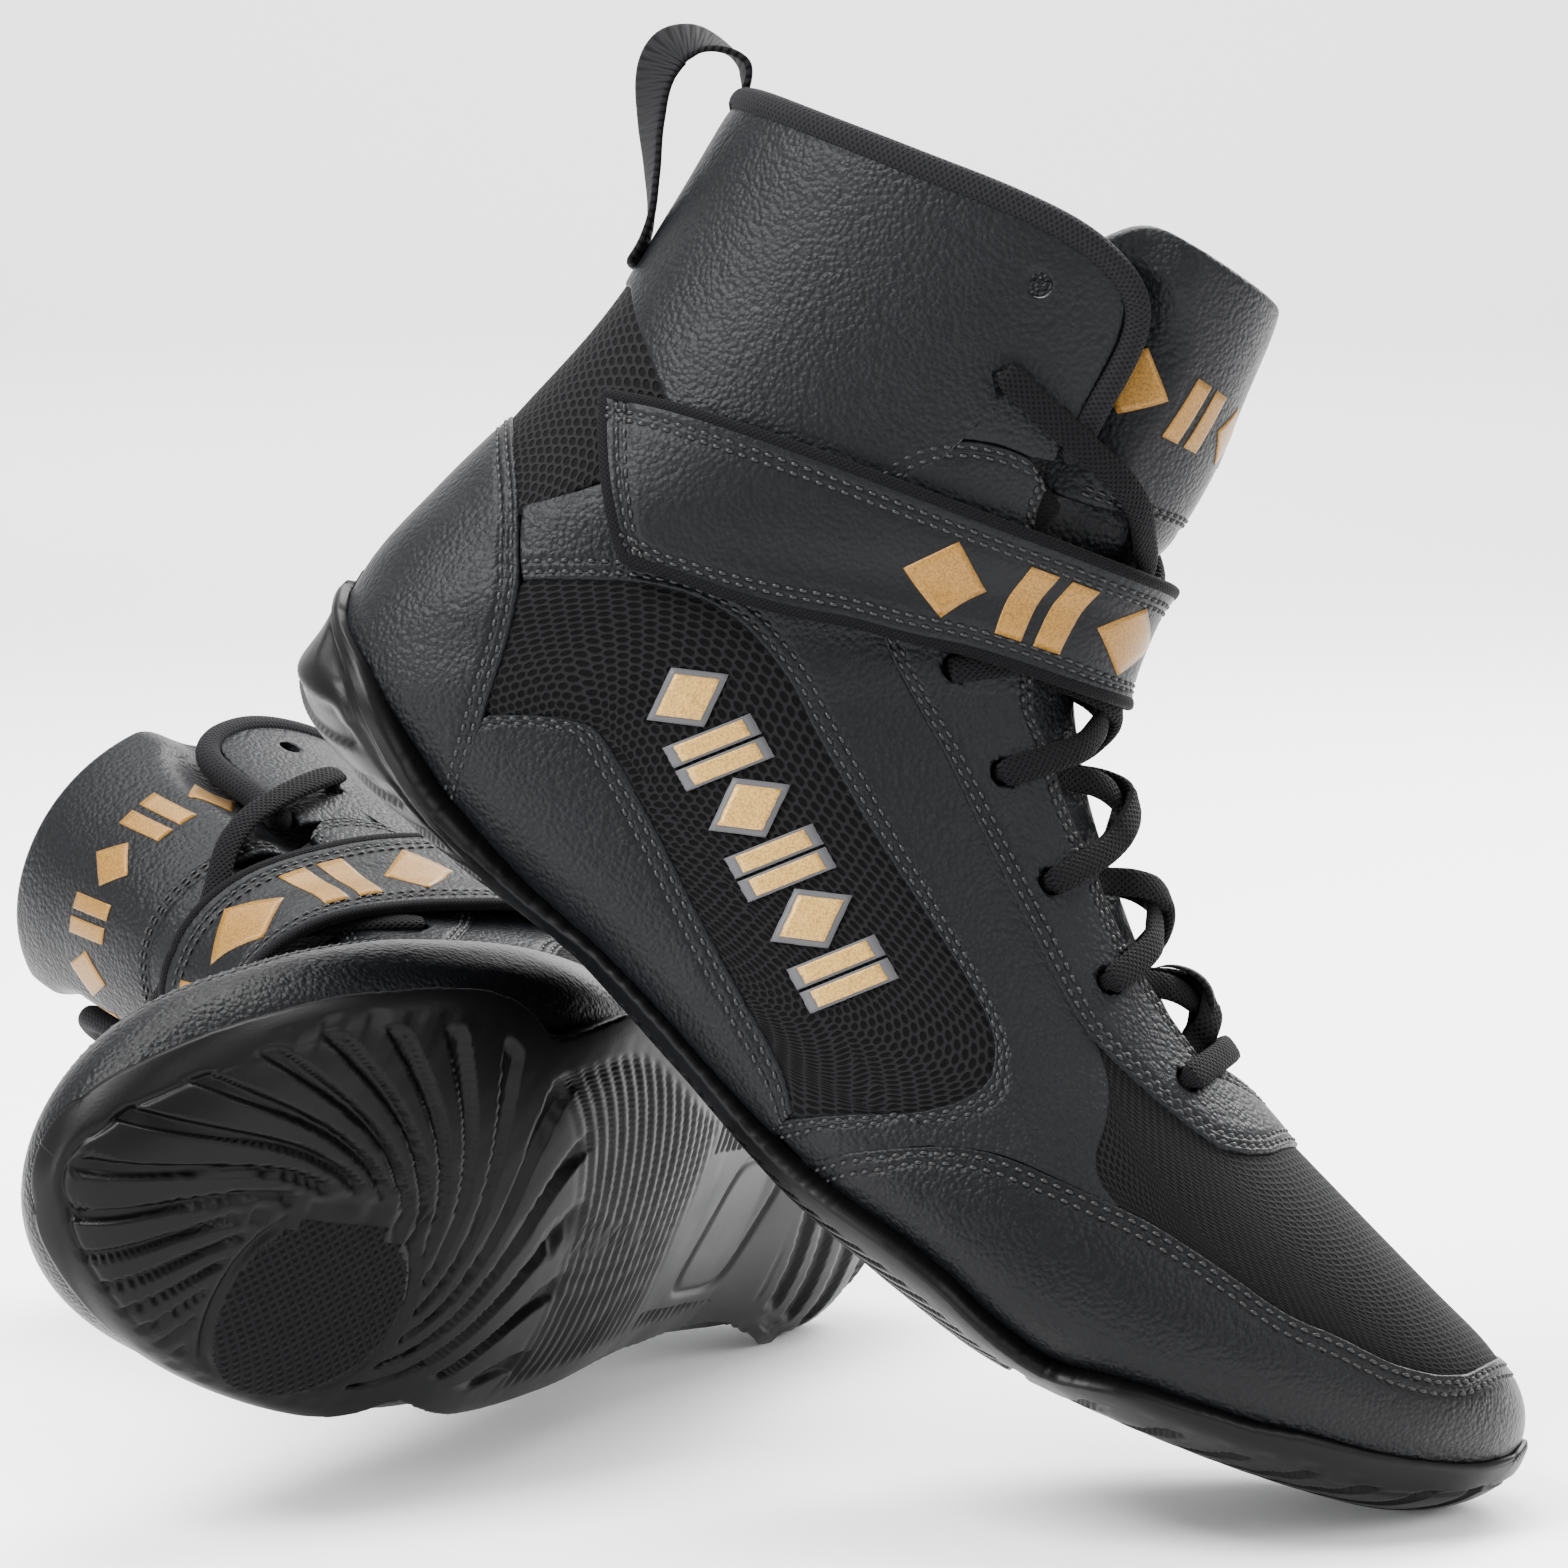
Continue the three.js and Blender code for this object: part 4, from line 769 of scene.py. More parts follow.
def stitches(lines):
    """Thread stitches: short bowed beads set along the stitch lines."""
    ring = 6
    along = np.array([-0.5, -0.3, 0.0, 0.3, 0.5]) * STITCH_LONG
    fat = np.array([0.35, 0.9, 1.0, 0.9, 0.35]) * STITCH_THICK / 2
    lift = np.array([-0.2, 0.05, 0.16, 0.05, -0.2])
    verts, faces = [], []
    angles = np.arange(ring) * 2 * PI / ring
    for s, th, h in lines:
        p = off(s, th, h)
        run = np.concatenate([[0], np.cumsum(np.linalg.norm(np.diff(p, axis=0), axis=1))])
        n = int(run[-1] / STITCH_PITCH)
        if n < 2:
            continue
        d = (np.arange(n) + 0.5) * run[-1] / n
        fine = lambda dist: np.stack([np.interp(dist, run, p[:, k]) for k in range(3)], 1)
        c = fine(d)
        t = fine(np.minimum(d + 0.6, run[-1])) - fine(np.maximum(d - 0.6, 0))
        t /= np.linalg.norm(t, axis=1, keepdims=True) + 1e-9
        normal = last_normal(np.interp(d, run, s), np.interp(d, run, th))
        side_way = np.cross(t, normal)
        side_way /= np.linalg.norm(side_way, axis=1, keepdims=True) + 1e-9
        for k in range(n):
            base = len(verts)
            for q in range(5):
                mid = c[k] + t[k] * along[q] + normal[k] * lift[q]
                for a in angles:
                    verts.append(mid + fat[q] * (math.cos(a) * side_way[k] + math.sin(a) * normal[k]))
            for q in range(4):
                for w in range(ring):
                    a = base + q * ring + w
                    b = base + q * ring + (w + 1) % ring
                    faces.append((a, b, b + ring, a + ring))
            for w in range(1, 3):
                faces.append((base, base + 2 * w + 1, base + 2 * w, base + 2 * w - 1))
                e = base + 4 * ring
                faces.append((e, e + 2 * w - 1, e + 2 * w, e + 2 * w + 1))
    return np.array(verts), np.array(faces)


def sweep(points, sideways, ups, width, thick, sides=14, power=0.7):
    """A closed bar along points with a rounded flat section; widths may vary along it."""
    n = len(points)
    width = np.broadcast_to(width, n)
    thick = np.broadcast_to(thick, n)
    ang = np.arange(sides) * 2 * PI / sides
    ca = np.sign(np.cos(ang)) * np.abs(np.cos(ang)) ** power
    sa = np.sign(np.sin(ang)) * np.abs(np.sin(ang)) ** power
    taper = np.ones(n)
    taper[0] = taper[-1] = 0.7
    rings = (points[:, None] + sideways[:, None] * (ca[None, :, None] * (width * taper / 2)[:, None, None])
             + ups[:, None] * (sa[None, :, None] * (thick * taper / 2)[:, None, None]))
    run = np.concatenate([[0], np.cumsum(np.linalg.norm(np.diff(points, axis=0), axis=1))])
    around = np.concatenate([[0], np.cumsum(np.linalg.norm(np.diff(rings[n // 2], axis=0), axis=1))])
    uv = np.stack(np.broadcast_arrays(run[:, None], around[None, :]), -1)
    verts = rings.reshape(-1, 3)
    faces = []
    for i in range(n - 1):
        for k in range(sides):
            a = i * sides + k
            b = i * sides + (k + 1) % sides
            faces.append((a, b, b + sides, a + sides))
    for end in (0, (n - 1) * sides):
        for k in range(1, sides // 2):
            quad = (end + k - 1, end + k, end + sides - 1 - k, end + sides - k if k > 1 else end + sides - 1)
            if k == 1:
                quad = (end, end + 1, end + sides - 2, end + sides - 1)
            faces.append(quad if end else quad[::-1])
    verts = np.asarray(verts)
    faces = np.array(faces)
    p = verts[faces[:, 0]]
    q = verts[faces[:, 1]]
    r = verts[faces[:, 2]]
    if np.einsum("ij,ij->i", p, np.cross(q, r)).sum() < 0:
        faces = faces[:, ::-1]
    return verts, faces, uv.reshape(-1, 2)


def frames_on(path):
    """Points, sideways and up directions for a path of (s, th, h) on the last."""
    p = off(path[:, 0], path[:, 1], path[:, 2])
    t = unit(np.gradient(p, axis=0))
    along_boot = last_point(path[:, 0] + 0.05, path[:, 1]) - last_point(path[:, 0] - 0.05, path[:, 1])
    sideways = square_to(along_boot, t)
    return p, sideways, np.cross(t, sideways)


def round_bar(c, height, width, thick, sides, power):
    """A bar that follows a curve of the last at a height, square to the surface."""
    p = off(c[:, 0], c[:, 1], height)
    t = unit(np.gradient(p, axis=0))
    up = square_to(last_normal(c[:, 0], c[:, 1]), t)
    return sweep(p, np.cross(t, up), up, width, thick, sides, power)


# ---- pieces ----
def double(edge, first=1.5, second=3.5):
    return [(edge, first), (edge, second)]


def strap_rise(s, th):
    return STRAP_RISE * (1 - smooth((np.abs(th) - 0.35) / 0.5))


def tongue_rise(s, th):
    return (-0.2 - TONGUE_LOW) * smooth((s - 13.7) / 2.5) * (1 - smooth((np.abs(th) - 0.45) / 0.3))


def lace_path():
    eyelets = side(EYELETS, 1)
    eyelets[:, 1] *= -1
    collar = from_side([CUFF_EYELETS[0]])[0]
    throat = side(THROAT)
    over = LACE_THICKNESS / 2 + 0.35
    under = (TONGUE_LOW - 1.4) / 2
    over_roll = COLLAR_ROLL_RADIUS + LACE_THICKNESS / 2 - 0.2
    path = []

    def edge_at(s):
        return abs(throat[np.argmin(np.abs(throat[:, 0] - s)), 1])

    def reach(p):
        a = last_point(p[0], p[1] - 0.01)
        return (over - under) / 2 / np.linalg.norm(a - last_point(p[0], p[1])) / 100

    def strand(start_at, end_at, way, middle, level0, level1, skew=0.0):
        start = way * (start_at[1] - reach(start_at))
        end = -way * (end_at[1] - reach(end_at))
        near = edge_at(start_at[0] + (end_at[0] - start_at[0]) * 0.1)
        far = edge_at(start_at[0] + (end_at[0] - start_at[0]) * 0.9)

        def put(th, h):
            u = smooth((start - th) / (start - end))
            path.append((start_at[0] + (end_at[0] - start_at[0]) * float(u) + skew, th, h, LACE_WIDTH))

        put(start, level0)
        put(way * near * (0.6 if level0 < 0 else 0.82), level0)
        put(way * near * (0.35 if level0 < 0 else 0.45), (level0 + 2 * middle) / 3)
        put(0.0, middle)
        put(-way * far * 0.4, (level1 + 2 * middle) / 3)
        put(-way * far * 0.78, level1)
        if level1 < 0:
            put((end - way * far * 0.78) / 2, level1)
        put(end, level1)

    def turn(at, way, upwards, last=over):
        for a in (45, 90, 135):
            angle = math.radians(a if upwards else 180 - a)
            th = at[1] - reach(at) * (1 - math.sin(angle))
            h = (last + under) / 2 - (last - under) / 2 * math.cos(angle)
            path.append((at[0], way * th, h, LACE_WIDTH * 0.6))

    def climb(way, middle):
        for i in range(len(eyelets)):
            more = i + 1 < len(eyelets)
            nxt = eyelets[i + 1] if more else collar
            strand(eyelets[i], nxt, way, middle, under if i == 0 else over, under if more else over_roll)
            way = -way
            if more:
                turn(nxt, way, True)
            else:
                turn(nxt, way, False, over_roll)
                path.pop()
                path.append((nxt[0], way * nxt[1], under, LACE_WIDTH * 0.6))

    climb(-1, LACE_THICKNESS + 0.9)
    path.reverse()
    turn(eyelets[0], -1, True)
    strand(eyelets[0], eyelets[0], -1, over + 0.4, over, over)
    turn(eyelets[0], 1, False)
    climb(1, 0.35)
    return spline(path, 6)


def arms(r):
    """How far the spiral grooves have turned at a distance from the pivot disc's middle."""
    k = np.minimum(r, 65)
    return 0.085 * k - 0.00065 * k * k


def tread(x, y):
    """The depth of the sole's pattern at a place, and how far it is on the shank and on the disc."""
    dx, dy = x - DISC_CENTRE[0], y - DISC_CENTRE[1]
    r = np.hypot(dx, dy)
    phi = np.arctan2(dy, dx)
    far = smooth((r - 60) / 8)
    swirl = 1.8 * smooth((np.cos(ARM_COUNT * (phi - arms(r))) - 0.45) / 0.3)
    rings = 0.55 * smooth(np.cos(2 * PI * r / RING_PITCH) / 0.6)
    field = ((1 - far) * swirl + far * rings) * smooth((r - DISC_RADIUS - 3.4) / 1.2)
    ring = 1.5 * np.exp(-((r - DISC_RADIUS - 1.2) / 0.8) ** 2)
    fore = smooth((x - 96) / 8)
    hx, hy = x - HEEL_CENTRE[0], y - HEEL_CENTRE[1]
    heel_r = np.hypot(hx, hy)
    heel_swirl = np.cos(HEEL_ARM_COUNT * (np.arctan2(hy, hx) + 0.011 * heel_r))
    heel = smooth((37 - x) / 5)
    u = np.abs((x - 66 - 0.3 * y) / 14.0)
    v = np.abs(y / 15.0)
    box = (u ** 5 + v ** 5) ** 0.2
    outline = 0.8 * np.exp(-((box - 1) * 13 / 0.8) ** 2)
    dash = 0.7 * (np.abs(np.mod(x, 3.6) - 1.8) < 0.7) * (np.abs(np.abs(y) - 22) < 4.0) * (x > 38) * (x < 96)
    total = fore * (field + ring) + heel * 1.3 * smooth((heel_swirl + 0.1) / 0.5)
    total += (1 - fore) * (1 - heel) * (outline + dash)
    return total, (1 - fore) * (1 - heel), r < DISC_RADIUS


def rim_distance(points, rim):
    """Distance of each point from the nearest point of the rim."""
    flat = points.reshape(-1, 3)
    out = np.empty(len(flat))
    for i in range(0, len(flat), 4000):
        gap = flat[i:i + 4000, None] - rim[None]
        out[i:i + 4000] = np.sqrt((gap * gap).sum(-1).min(1))
    return out.reshape(points.shape[:-1])


def outsole(boot):
    half = join(side(RAND), ridge(*TOE_TIP))
    run = lengths(half)
    half = at_lengths(half, run, np.linspace(0.3, run[-1], 400))
    rim_rows = len(half)
    tip = half[-1, 0]
    half[-1, 1] = -0.004
    cap = np.array([[tip * k, -0.004] for k in (0.9, 0.8, 0.65, 0.5, 0.35, 0.2, 0.1, 0.05, 0.02, 0.004)])
    half = np.vstack([half, cap])
    w = np.linspace(0, 1, 221)
    w = w - 0.045 * np.sin(2 * PI * w)
    s = np.repeat(half[:, :1], len(w), 1)
    th = half[:, 1:] + (-2 * PI - 2 * half[:, 1:]) * w[None]
    p = last_point(s, th)
    n = last_normal(s, th)
    d = rim_distance(p, np.vstack([p[:rim_rows, 0], p[:rim_rows, -1]]))
    x, y = p[..., 0], p[..., 1]
    down = smooth((-n[..., 2] - 0.3) / 0.5)
    share = np.interp(s, np.arange(len(SOLE_SHARE)), SOLE_SHARE)
    rim = RAND_THICKNESS * (0.75 + 0.25 * smooth(d / 1.2))
    h = SOLE_GAP + rim + (SOLE_THICKNESS * share - rim) * down
    groove, shank, disc = tread(x, y)
    grip = smooth((-n[..., 2] - 0.12) / 0.35)
    h -= groove * grip * smooth((d - 5.5) / 3)
    # ribs round the edge of the tread
    run_x = x * 1.06 + 0.5 * np.abs(y)
    edge_zone = np.exp(-((-n[..., 2] - 0.45) / 0.28) ** 2) * smooth((d - 3.0) / 2)
    fore_edge = smooth((x - 100) / 12) * smooth((236 - x) / 12)
    h -= 0.75 * edge_zone * fore_edge * smooth((np.cos(2 * PI * run_x / 6.6) + 0.2) / 0.8)
    heel_edge = smooth((34 - x) / 12)
    run_heel = x * 0.8 - np.abs(y) * 0.75
    h -= 1.3 * edge_zone * heel_edge * smooth((np.cos(2 * PI * run_heel / 9.5) + 0.1) / 0.8)
    # the heel's bead and the toe's line
    lip = smooth((32 - x) / 14)
    h += lip * (0.9 * smooth((3.0 - d) / 0.8) - 0.45 * np.exp(-((d - 4.2) / 0.8) ** 2)) * smooth(d / 0.5)
    toe_line = np.exp(-((d - 7.2) / 0.5) ** 2) * smooth((x - 188) / 6)
    h -= 0.75 * toe_line * (1 - down)
    h -= 0.6 * (1 - np.sqrt(np.maximum(1 - (1 - np.clip(d / 0.9, 0, 1)) ** 2, 0)))
    top = p + n * h[..., None]
    bottom = p + n * (SOLE_GAP * 0.3)
    uv = np.stack([x, y], -1)
    verts, faces, uvs = shell(top, bottom, uv)
    below = (faces < x.size).all(1)
    zones = [(zone * grip > 0.5).reshape(-1)[faces % x.size].all(1) & below for zone in (shank, disc)]
    picks = zones[0] + 2 * zones[1]
    boot.add("outsole", verts, faces, uvs, ["rubber", "shank", "sole_disc"], ["outsole"], picks=picks)


def motif(count, slant):
    """A row of generic marks in a unit band: lozenges and pairs of slanted bars, as four-cornered shapes."""
    out = []
    cell = 1.0 / count
    for k in range(count):
        c = (k + 0.5) * cell
        w = cell * 0.42
        if k % 2 == 0:
            out.append([(c - w, 0.5), (c, 1.0), (c + w, 0.5), (c, 0.0)])
        else:
            for shift in (-0.5, 0.5):
                m = c + shift * w
                a, b = m - w * 0.34, m + w * 0.34
                out.append([(a - slant, 0.0), (a + slant, 1.0), (b + slant, 1.0), (b - slant, 0.0)])
    return out


def marks(shapes, place, height, thick=0.14, grow=0.0):
    """Thin raised prints. place(u, v) gives (s, th) of a point in the unit band, height(s, th) its level."""
    verts, faces = [], []
    k = 9
    g = np.linspace(0, 1, k)
    for q in shapes:
        q = np.array(q, float)
        centre = q.mean(0)
        q = centre + (q - centre) * (1 + grow)
        a, b = g[:, None, None], g[None, :, None]
        flat = (1 - a) * ((1 - b) * q[0] + b * q[1]) + a * ((1 - b) * q[3] + b * q[2])
        sth = place(flat[..., 0], flat[..., 1])
        base = height(sth[..., 0], sth[..., 1])
        top = off(sth[..., 0], sth[..., 1], base + thick)
        low = off(sth[..., 0], sth[..., 1], base - 0.25)
        v, f, _ = shell(top, low, np.zeros((k, k, 2)))
        faces.append(f + sum(len(x) for x in verts))
        verts.append(v)
    return np.vstack(verts), np.vstack(faces)


def tongue_edge(s):
    """The angle at which the tongue's top turns in behind the cuffs."""
    wing = from_side(spline(TONGUE_WING))
    order = np.argsort(wing[:, 0])
    return np.interp(s, wing[order, 0], wing[order, 1])


def tongue_inside(s, th):
    return smooth((np.abs(th) - tongue_edge(s) + 0.16) / 0.3)


def tongue_top_grid():
    """The tongue's free top: its sides run on inside the shaft, behind the cuffs' edges."""
    v = np.linspace(-1, 1, 91)
    v = v + 0.02 * np.sin(2 * PI * v)
    u = np.concatenate([[0, 0.004, 0.01, 0.02], np.linspace(0.035, 0.965, 66), [0.98, 0.99, 0.996, 1]])
    u, v = np.meshgrid(u, v, indexing="ij")
    crest = 19.98 - 0.12 * np.abs(v) ** 2 - 1.35 * smooth((np.abs(v) - 0.62) / 0.38) ** 1.4
    s = TONGUE_HEM - 0.12 + (crest - TONGUE_HEM + 0.12) * u
    reach = tongue_edge(s) + 0.42 + 0.1 * smooth((s - 17.5) / 2)
    th = v * reach
    inside = tongue_inside(s, th)
    rim_u = np.minimum(u, 1 - u) * 50
    rim_v = (1 - np.abs(v)) * 60
    rim = np.minimum(rim_u, rim_v)
    round_off = 1.0 * (1 - np.sqrt(np.maximum(1 - (1 - np.clip(rim / 1.4, 0, 1)) ** 2, 0)))
    h = -0.2 + TONGUE_TURNED_IN * inside + 0.8 * (1 - np.exp(-rim / 4)) * (1 - inside) - round_off
    hem_rows = []
    for k in (5, 7):
        row = np.abs(np.arange(u.shape[0]) - k)[:, None]
        h -= 0.3 * np.exp(-(row / 0.6) ** 2) * (1 - inside)
        keep = (1 - inside[k]) > 0.6
        hem_rows.append((s[k][keep], th[k][keep], h[k][keep] + 0.1))
    top = off(s, th, h)
    low = off(s, th, np.minimum(h, -0.2 + TONGUE_TURNED_IN * inside) - 2.4)
    uv = np.stack([u * 50, v * 60], -1)
    return *shell(top, low, uv), hem_rows


class Upper:
    """The sewn panels of one boot, with the stitch lines they leave."""

    def __init__(self, boot):
        self.boot = boot
        self.lines = []

    def panel(self, label, patch, mat, **kw):
        self.lines.extend(patch.stitch_lines())
        self.boot.add(label, *patch.body(), mat, [label], **kw)


def heel_panels(upper, rand):
    def round_back(c):
        return across(c[::-1], BACK)

    top = side(COUNTER_TOP)
    low = cut(rand, None, (20, 10))
    counter = Patch(round_back(top), round_back(low), -1.6, 0.35, rows=double("a"), over=(0, TUCK))
    upper.panel("heel_counter", counter, "leather")
    low = cut(top, None, ACHILLES_CORNER)
    mesh = Patch(round_back(side(ACHILLES_TOP)), round_back(low), MESH_LOW, -0.35, over=(2, 2), puff=0.3)
    upper.panel("achilles_mesh", mesh, "mesh")


def side_panels(upper, rand, which, turn):
    window, saddle_top = side(WINDOW_TOP), side(SADDLE_TOP)
    outer = join(side([ACHILLES_CORNER, (-1.5, 71.5), CUFF_JOIN[0]]), side(CUFF_JOIN)[1:],
                 side(FACING_SEAM)[1:], side(QUARTER_FRONT)[1:],
                 cut(side(TOE_TOP), QUARTER_CORNER, (114, 6))[1:])
    quarter = Patch(turn(outer), turn(window), LEATHER_LOW, 0.0, rows=double("b"), over=(1.5, 0))
    upper.panel(f"quarter_{which}", quarter, "leather")
    mesh = Patch(turn(window), turn(saddle_top), MESH_LOW, -0.9, over=(2, 2), puff=0.5)
    upper.panel(f"side_mesh_{which}", mesh, "mesh")
    low = cut(rand, (18, 10.2), (108, 6))
    saddle = Patch(turn(saddle_top), turn(low), LEATHER_LOW, 0.0, rows=double("a"), over=(0, TUCK))
    upper.panel(f"saddle_{which}", saddle, "leather")

    top = join(side(CUFF_TOP), side(CUFF_FRONT)[1:])
    low = join(side(ACHILLES_TOP), side(CUFF_JOIN)[1:], side(FACING_ARCH)[::-1][1:-14])
    for edge in (top, low):
        edge[0, 1] = BACK + 0.004
    cuff = Patch(turn(top), turn(low), LEATHER_LOW, 0.15, step=2.2, over=(2.4, 0), puff=0.5)
    holes = list(turn(side(CUFF_EYELETS, 1)[[0, -1]]))
    upper.panel(f"cuff_{which}", cuff, "leather", holes=(holes, CUFF_HOLE))


def front_panels(upper, rand):
    front, quarter_front, toe_top = side(FACING_FRONT), side(QUARTER_FRONT), side(TOE_TOP)
    vamp_start, vamp_end = ridge(183, 72.7), ridge(240, 69.8)
    throat = join(side(THROAT), ridge(170, 74))
    outer = join(side(FACING_ARCH)[:-1], side(FACING_SEAM), front[1:], vamp_start)
    rows = double("a", 1.4, 3.0) + double("b")
    facing = Patch(across(throat), across(outer), LEATHER_LOW, 0.55, rows=rows)
    holes = side(EYELETS, 1)
    upper.panel("facing", facing, "leather", holes=(list(holes) + list(mirrored(holes)), FACING_HOLE))
    start = join(quarter_front[::-1], front[1:], vamp_start)
    end = join(cut(toe_top, QUARTER_CORNER, None), vamp_end)
    vamp = Patch(across(start), across(end), MESH_LOW, -0.5, over=(TUCK, TUCK), puff=0.4)
    upper.panel("vamp_mesh", vamp, "vamp_mesh")
    low = join(cut(rand, (115, 6.2), None), ridge(*TOE_TIP))
    guard = Patch(across(join(toe_top, vamp_end)), across(low), LEATHER_LOW, 0.4, rows=double("a"),
                  over=(0, TUCK), puff=0.35)
    upper.panel("toe_guard", guard, "toe_leather")


def inner_layer(boot, name, nodes, rows, angles, high, low, girth, **kw):
    """A layer inside the boot: one row of angles round the section for each station."""
    s = np.repeat(rows[:, None], angles.shape[1], 1)
    lanes = np.linspace(0, girth, angles.shape[1])
    uv = np.stack(np.meshgrid(rows * STATION_LENGTH, lanes, indexing="ij"), -1)
    boot.add(name, *shell(off(s, angles, high), off(s, angles, low), uv), "lining", nodes, **kw)


def inside(boot):
    rows = np.linspace(0.9, 18.1, 120)
    w = np.linspace(-1, 1, 90)
    shaft = 0.80 + 0.62 * smooth((rows - 15.8) / 1.6)
    gap = 0.004 + shaft * smooth((rows - station(172, 71) + 1.2) / 2.2)
    angles = BACK + (PI - gap)[:, None] * (w + 0.05 * np.sin(2 * PI * w))[None]
    holes = side(CUFF_EYELETS, 1)[[0, -1]]
    inner_layer(boot, "lining", ["forefoot_lining", "shaft_lining"], rows, angles, -2.0, -3.6, 220,
                holes=(list(holes) + list(mirrored(holes)), CUFF_HOLE))
    u = np.linspace(0, 1, 60)
    half = 0.9 * np.sqrt(np.sin(PI * (0.06 + 0.88 * u)))
    angles = BACK + half[:, None] * np.linspace(-1, 1, 24)[None]
    inner_layer(boot, "sock_liner", ["sock_liner"], 1.8 + (12.1 - 1.8) * u, angles, -7.6, -5.2, 80)


def tongue(boot):
    """The tongue, in two pieces that meet at its hem; below it, it is held by the facing."""
    rows = np.linspace(6.25, TONGUE_HEM - 0.02, 60)
    edge = np.stack([rows, -(0.35 + 0.62 * smooth(np.linspace(0, 3.2, 60)))], 1)
    low = Patch(edge, mirrored(edge), TONGUE_LOW - 1.8, TONGUE_LOW, height=tongue_rise, puff=0.3)
    boot.add("tongue", *low.body(), "leather", ["tongue"])
    bend = ("tongue_flap", (83.0, 0, 141.5), (81.5, 0, 150.5))
    verts, faces, uv, hem = tongue_top_grid()
    boot.add("tongue_top", verts, faces, uv, "leather", ["tongue_top"], bend=bend)
    boot.sew("tongue_stitching", hem, bend=bend)


def pull_loop(boot):
    loop = spline(PULL_LOOP, 8)
    p = np.stack([loop[:, 0], np.zeros(len(loop)), loop[:, 1]], 1)
    t = unit(np.gradient(p, axis=0))
    # the strip twists a little towards its top, as a worn loop does
    share = np.linspace(0, 1, len(p))
    twist = 0.62 * smooth((share - 0.04) / 0.34) * smooth((0.92 - share) / 0.45)
    sideways = square_to(np.stack([-np.sin(twist), np.cos(twist), 0 * twist], 1), t)
    strip = sweep(p, sideways, np.cross(sideways, t), LOOP_WIDTH, LOOP_THICKNESS, 16, 0.35)
    boot.add("pull_loop", *strip, "webbing", ["pull_loop"])


def trim(boot):
    """Lace, collar roll, pull loop and the keeper that holds the lace on the tongue."""
    path = lace_path()
    bar = sweep(*frames_on(path), path[:, 3], LACE_THICKNESS, 12, 0.75)
    boot.add("lace", *bar, "lace", ["lace"])
    collar = across(side(COLLAR_LINE), BACK)
    run = np.linspace(0, lengths(collar)[-1], COLLAR_STEPS)
    ends = np.minimum(run, run[-1] - run)
    size = COLLAR_ROLL_RADIUS * 2 * np.sqrt(np.clip(ends / 3.0 + 0.1, 0, 1))
    roll = round_bar(evenly(collar, COLLAR_STEPS), COLLAR_DEPTH, size, size, 18, 0.9)
    boot.add("collar_binding", *roll, "knit", ["collar_binding"])
    pull_loop(boot)
    rows = np.linspace(station(140, 82), station(156, 77), 30)
    s, th = np.meshgrid(rows, np.linspace(-0.11, 0.11, 12), indexing="ij")
    level = np.repeat((-4.6 + 9.4 * np.sin(PI * np.linspace(0, 1, 30)) ** 0.45)[:, None], 12, 1)
    uv = np.stack([(s - rows[0]) * STATION_LENGTH, th * 40], -1)
    keeper = shell(off(s, th, level), off(s, th, level - 0.9), uv)
    boot.add("tongue_lace_loop", *keeper, "webbing", ["tongue_lace_loop"])


class StrapLines:
    """The strap's two edges; a share of 0 is its free end, and 1 the edges' far end."""

    def __init__(self):
        self.top = across(join(side(STRAP_TOP), ridge(88.5, 135)))
        self.low = across(join(side(STRAP_BOTTOM), ridge(97.5, 109.5)))
        self.run_top = lengths(self.top)
        self.run_low = lengths(self.low)

    def edges(self, share):
        a = at_lengths(self.top, self.run_top, share * self.run_top[-1])
        b = at_lengths(self.low, self.run_low, share * self.run_low[-1])
        return a, b

    def middle(self, share):
        a, b = self.edges(np.array([share]))
        return off(*((a[0] + b[0]) / 2), STRAP_UNDERSIDE)

    def band(self, start, end, wide, low, high):
        a, b = self.edges(np.linspace(start, end, 60))
        m = (a + b) / 2
        return Patch(m + (a - m) * wide, m + (b - m) * wide, low, high, puff=0.0)


def ankle_strap(boot, lines):
    """One piece that leaves the flank. Returns the place where it would bend."""
    a, b = lines.edges(np.linspace(0, 0.84, 200))
    rows = [row for edge in "abs" for row in double(edge, 2.9, 4.6)]
    strap = Patch(a, b, STRAP_UNDERSIDE, STRAP_TOP_FACE - 0.2, height=strap_rise, step=1.6, rows=rows)
    centre = lines.middle(STRAP_SPLIT)
    way = unit(lines.middle(STRAP_SPLIT - 0.04) - centre)
    bend = ("strap", centre - way * 5, centre + way * 7)
    boot.add("strap", *strap.body(), "strap_leather", ["strap_base", "strap_tab"], bend=bend)
    boot.sew("strap_stitching", strap.stitch_lines(), bend=bend)
    rim = evenly(join(a[::-1], np.linspace(a[0], b[0], 12)[1:-1], b), 300)
    rise = strap_rise(*rim.T) + STRAP_UNDERSIDE + STRAP_THICKNESS / 2 - 0.1
    binding = round_bar(rim, rise, BINDING_WIDTH, STRAP_THICKNESS + 0.5, 12, 0.8)
    boot.add("strap_binding", *binding, "binding", bend=bend)
    hook = lines.band(0.02, 0.17, 0.72, 1.7, 2.5)
    boot.add("hook_patch", *hook.body(), "hooks", ["hook_patch"], body="strap")
    loop = lines.band(0.015, 0.21, 0.78, 0.5, 1.2)
    boot.add("loop_patch", *loop.body(), "hooks", ["loop_patch"])
    return bend


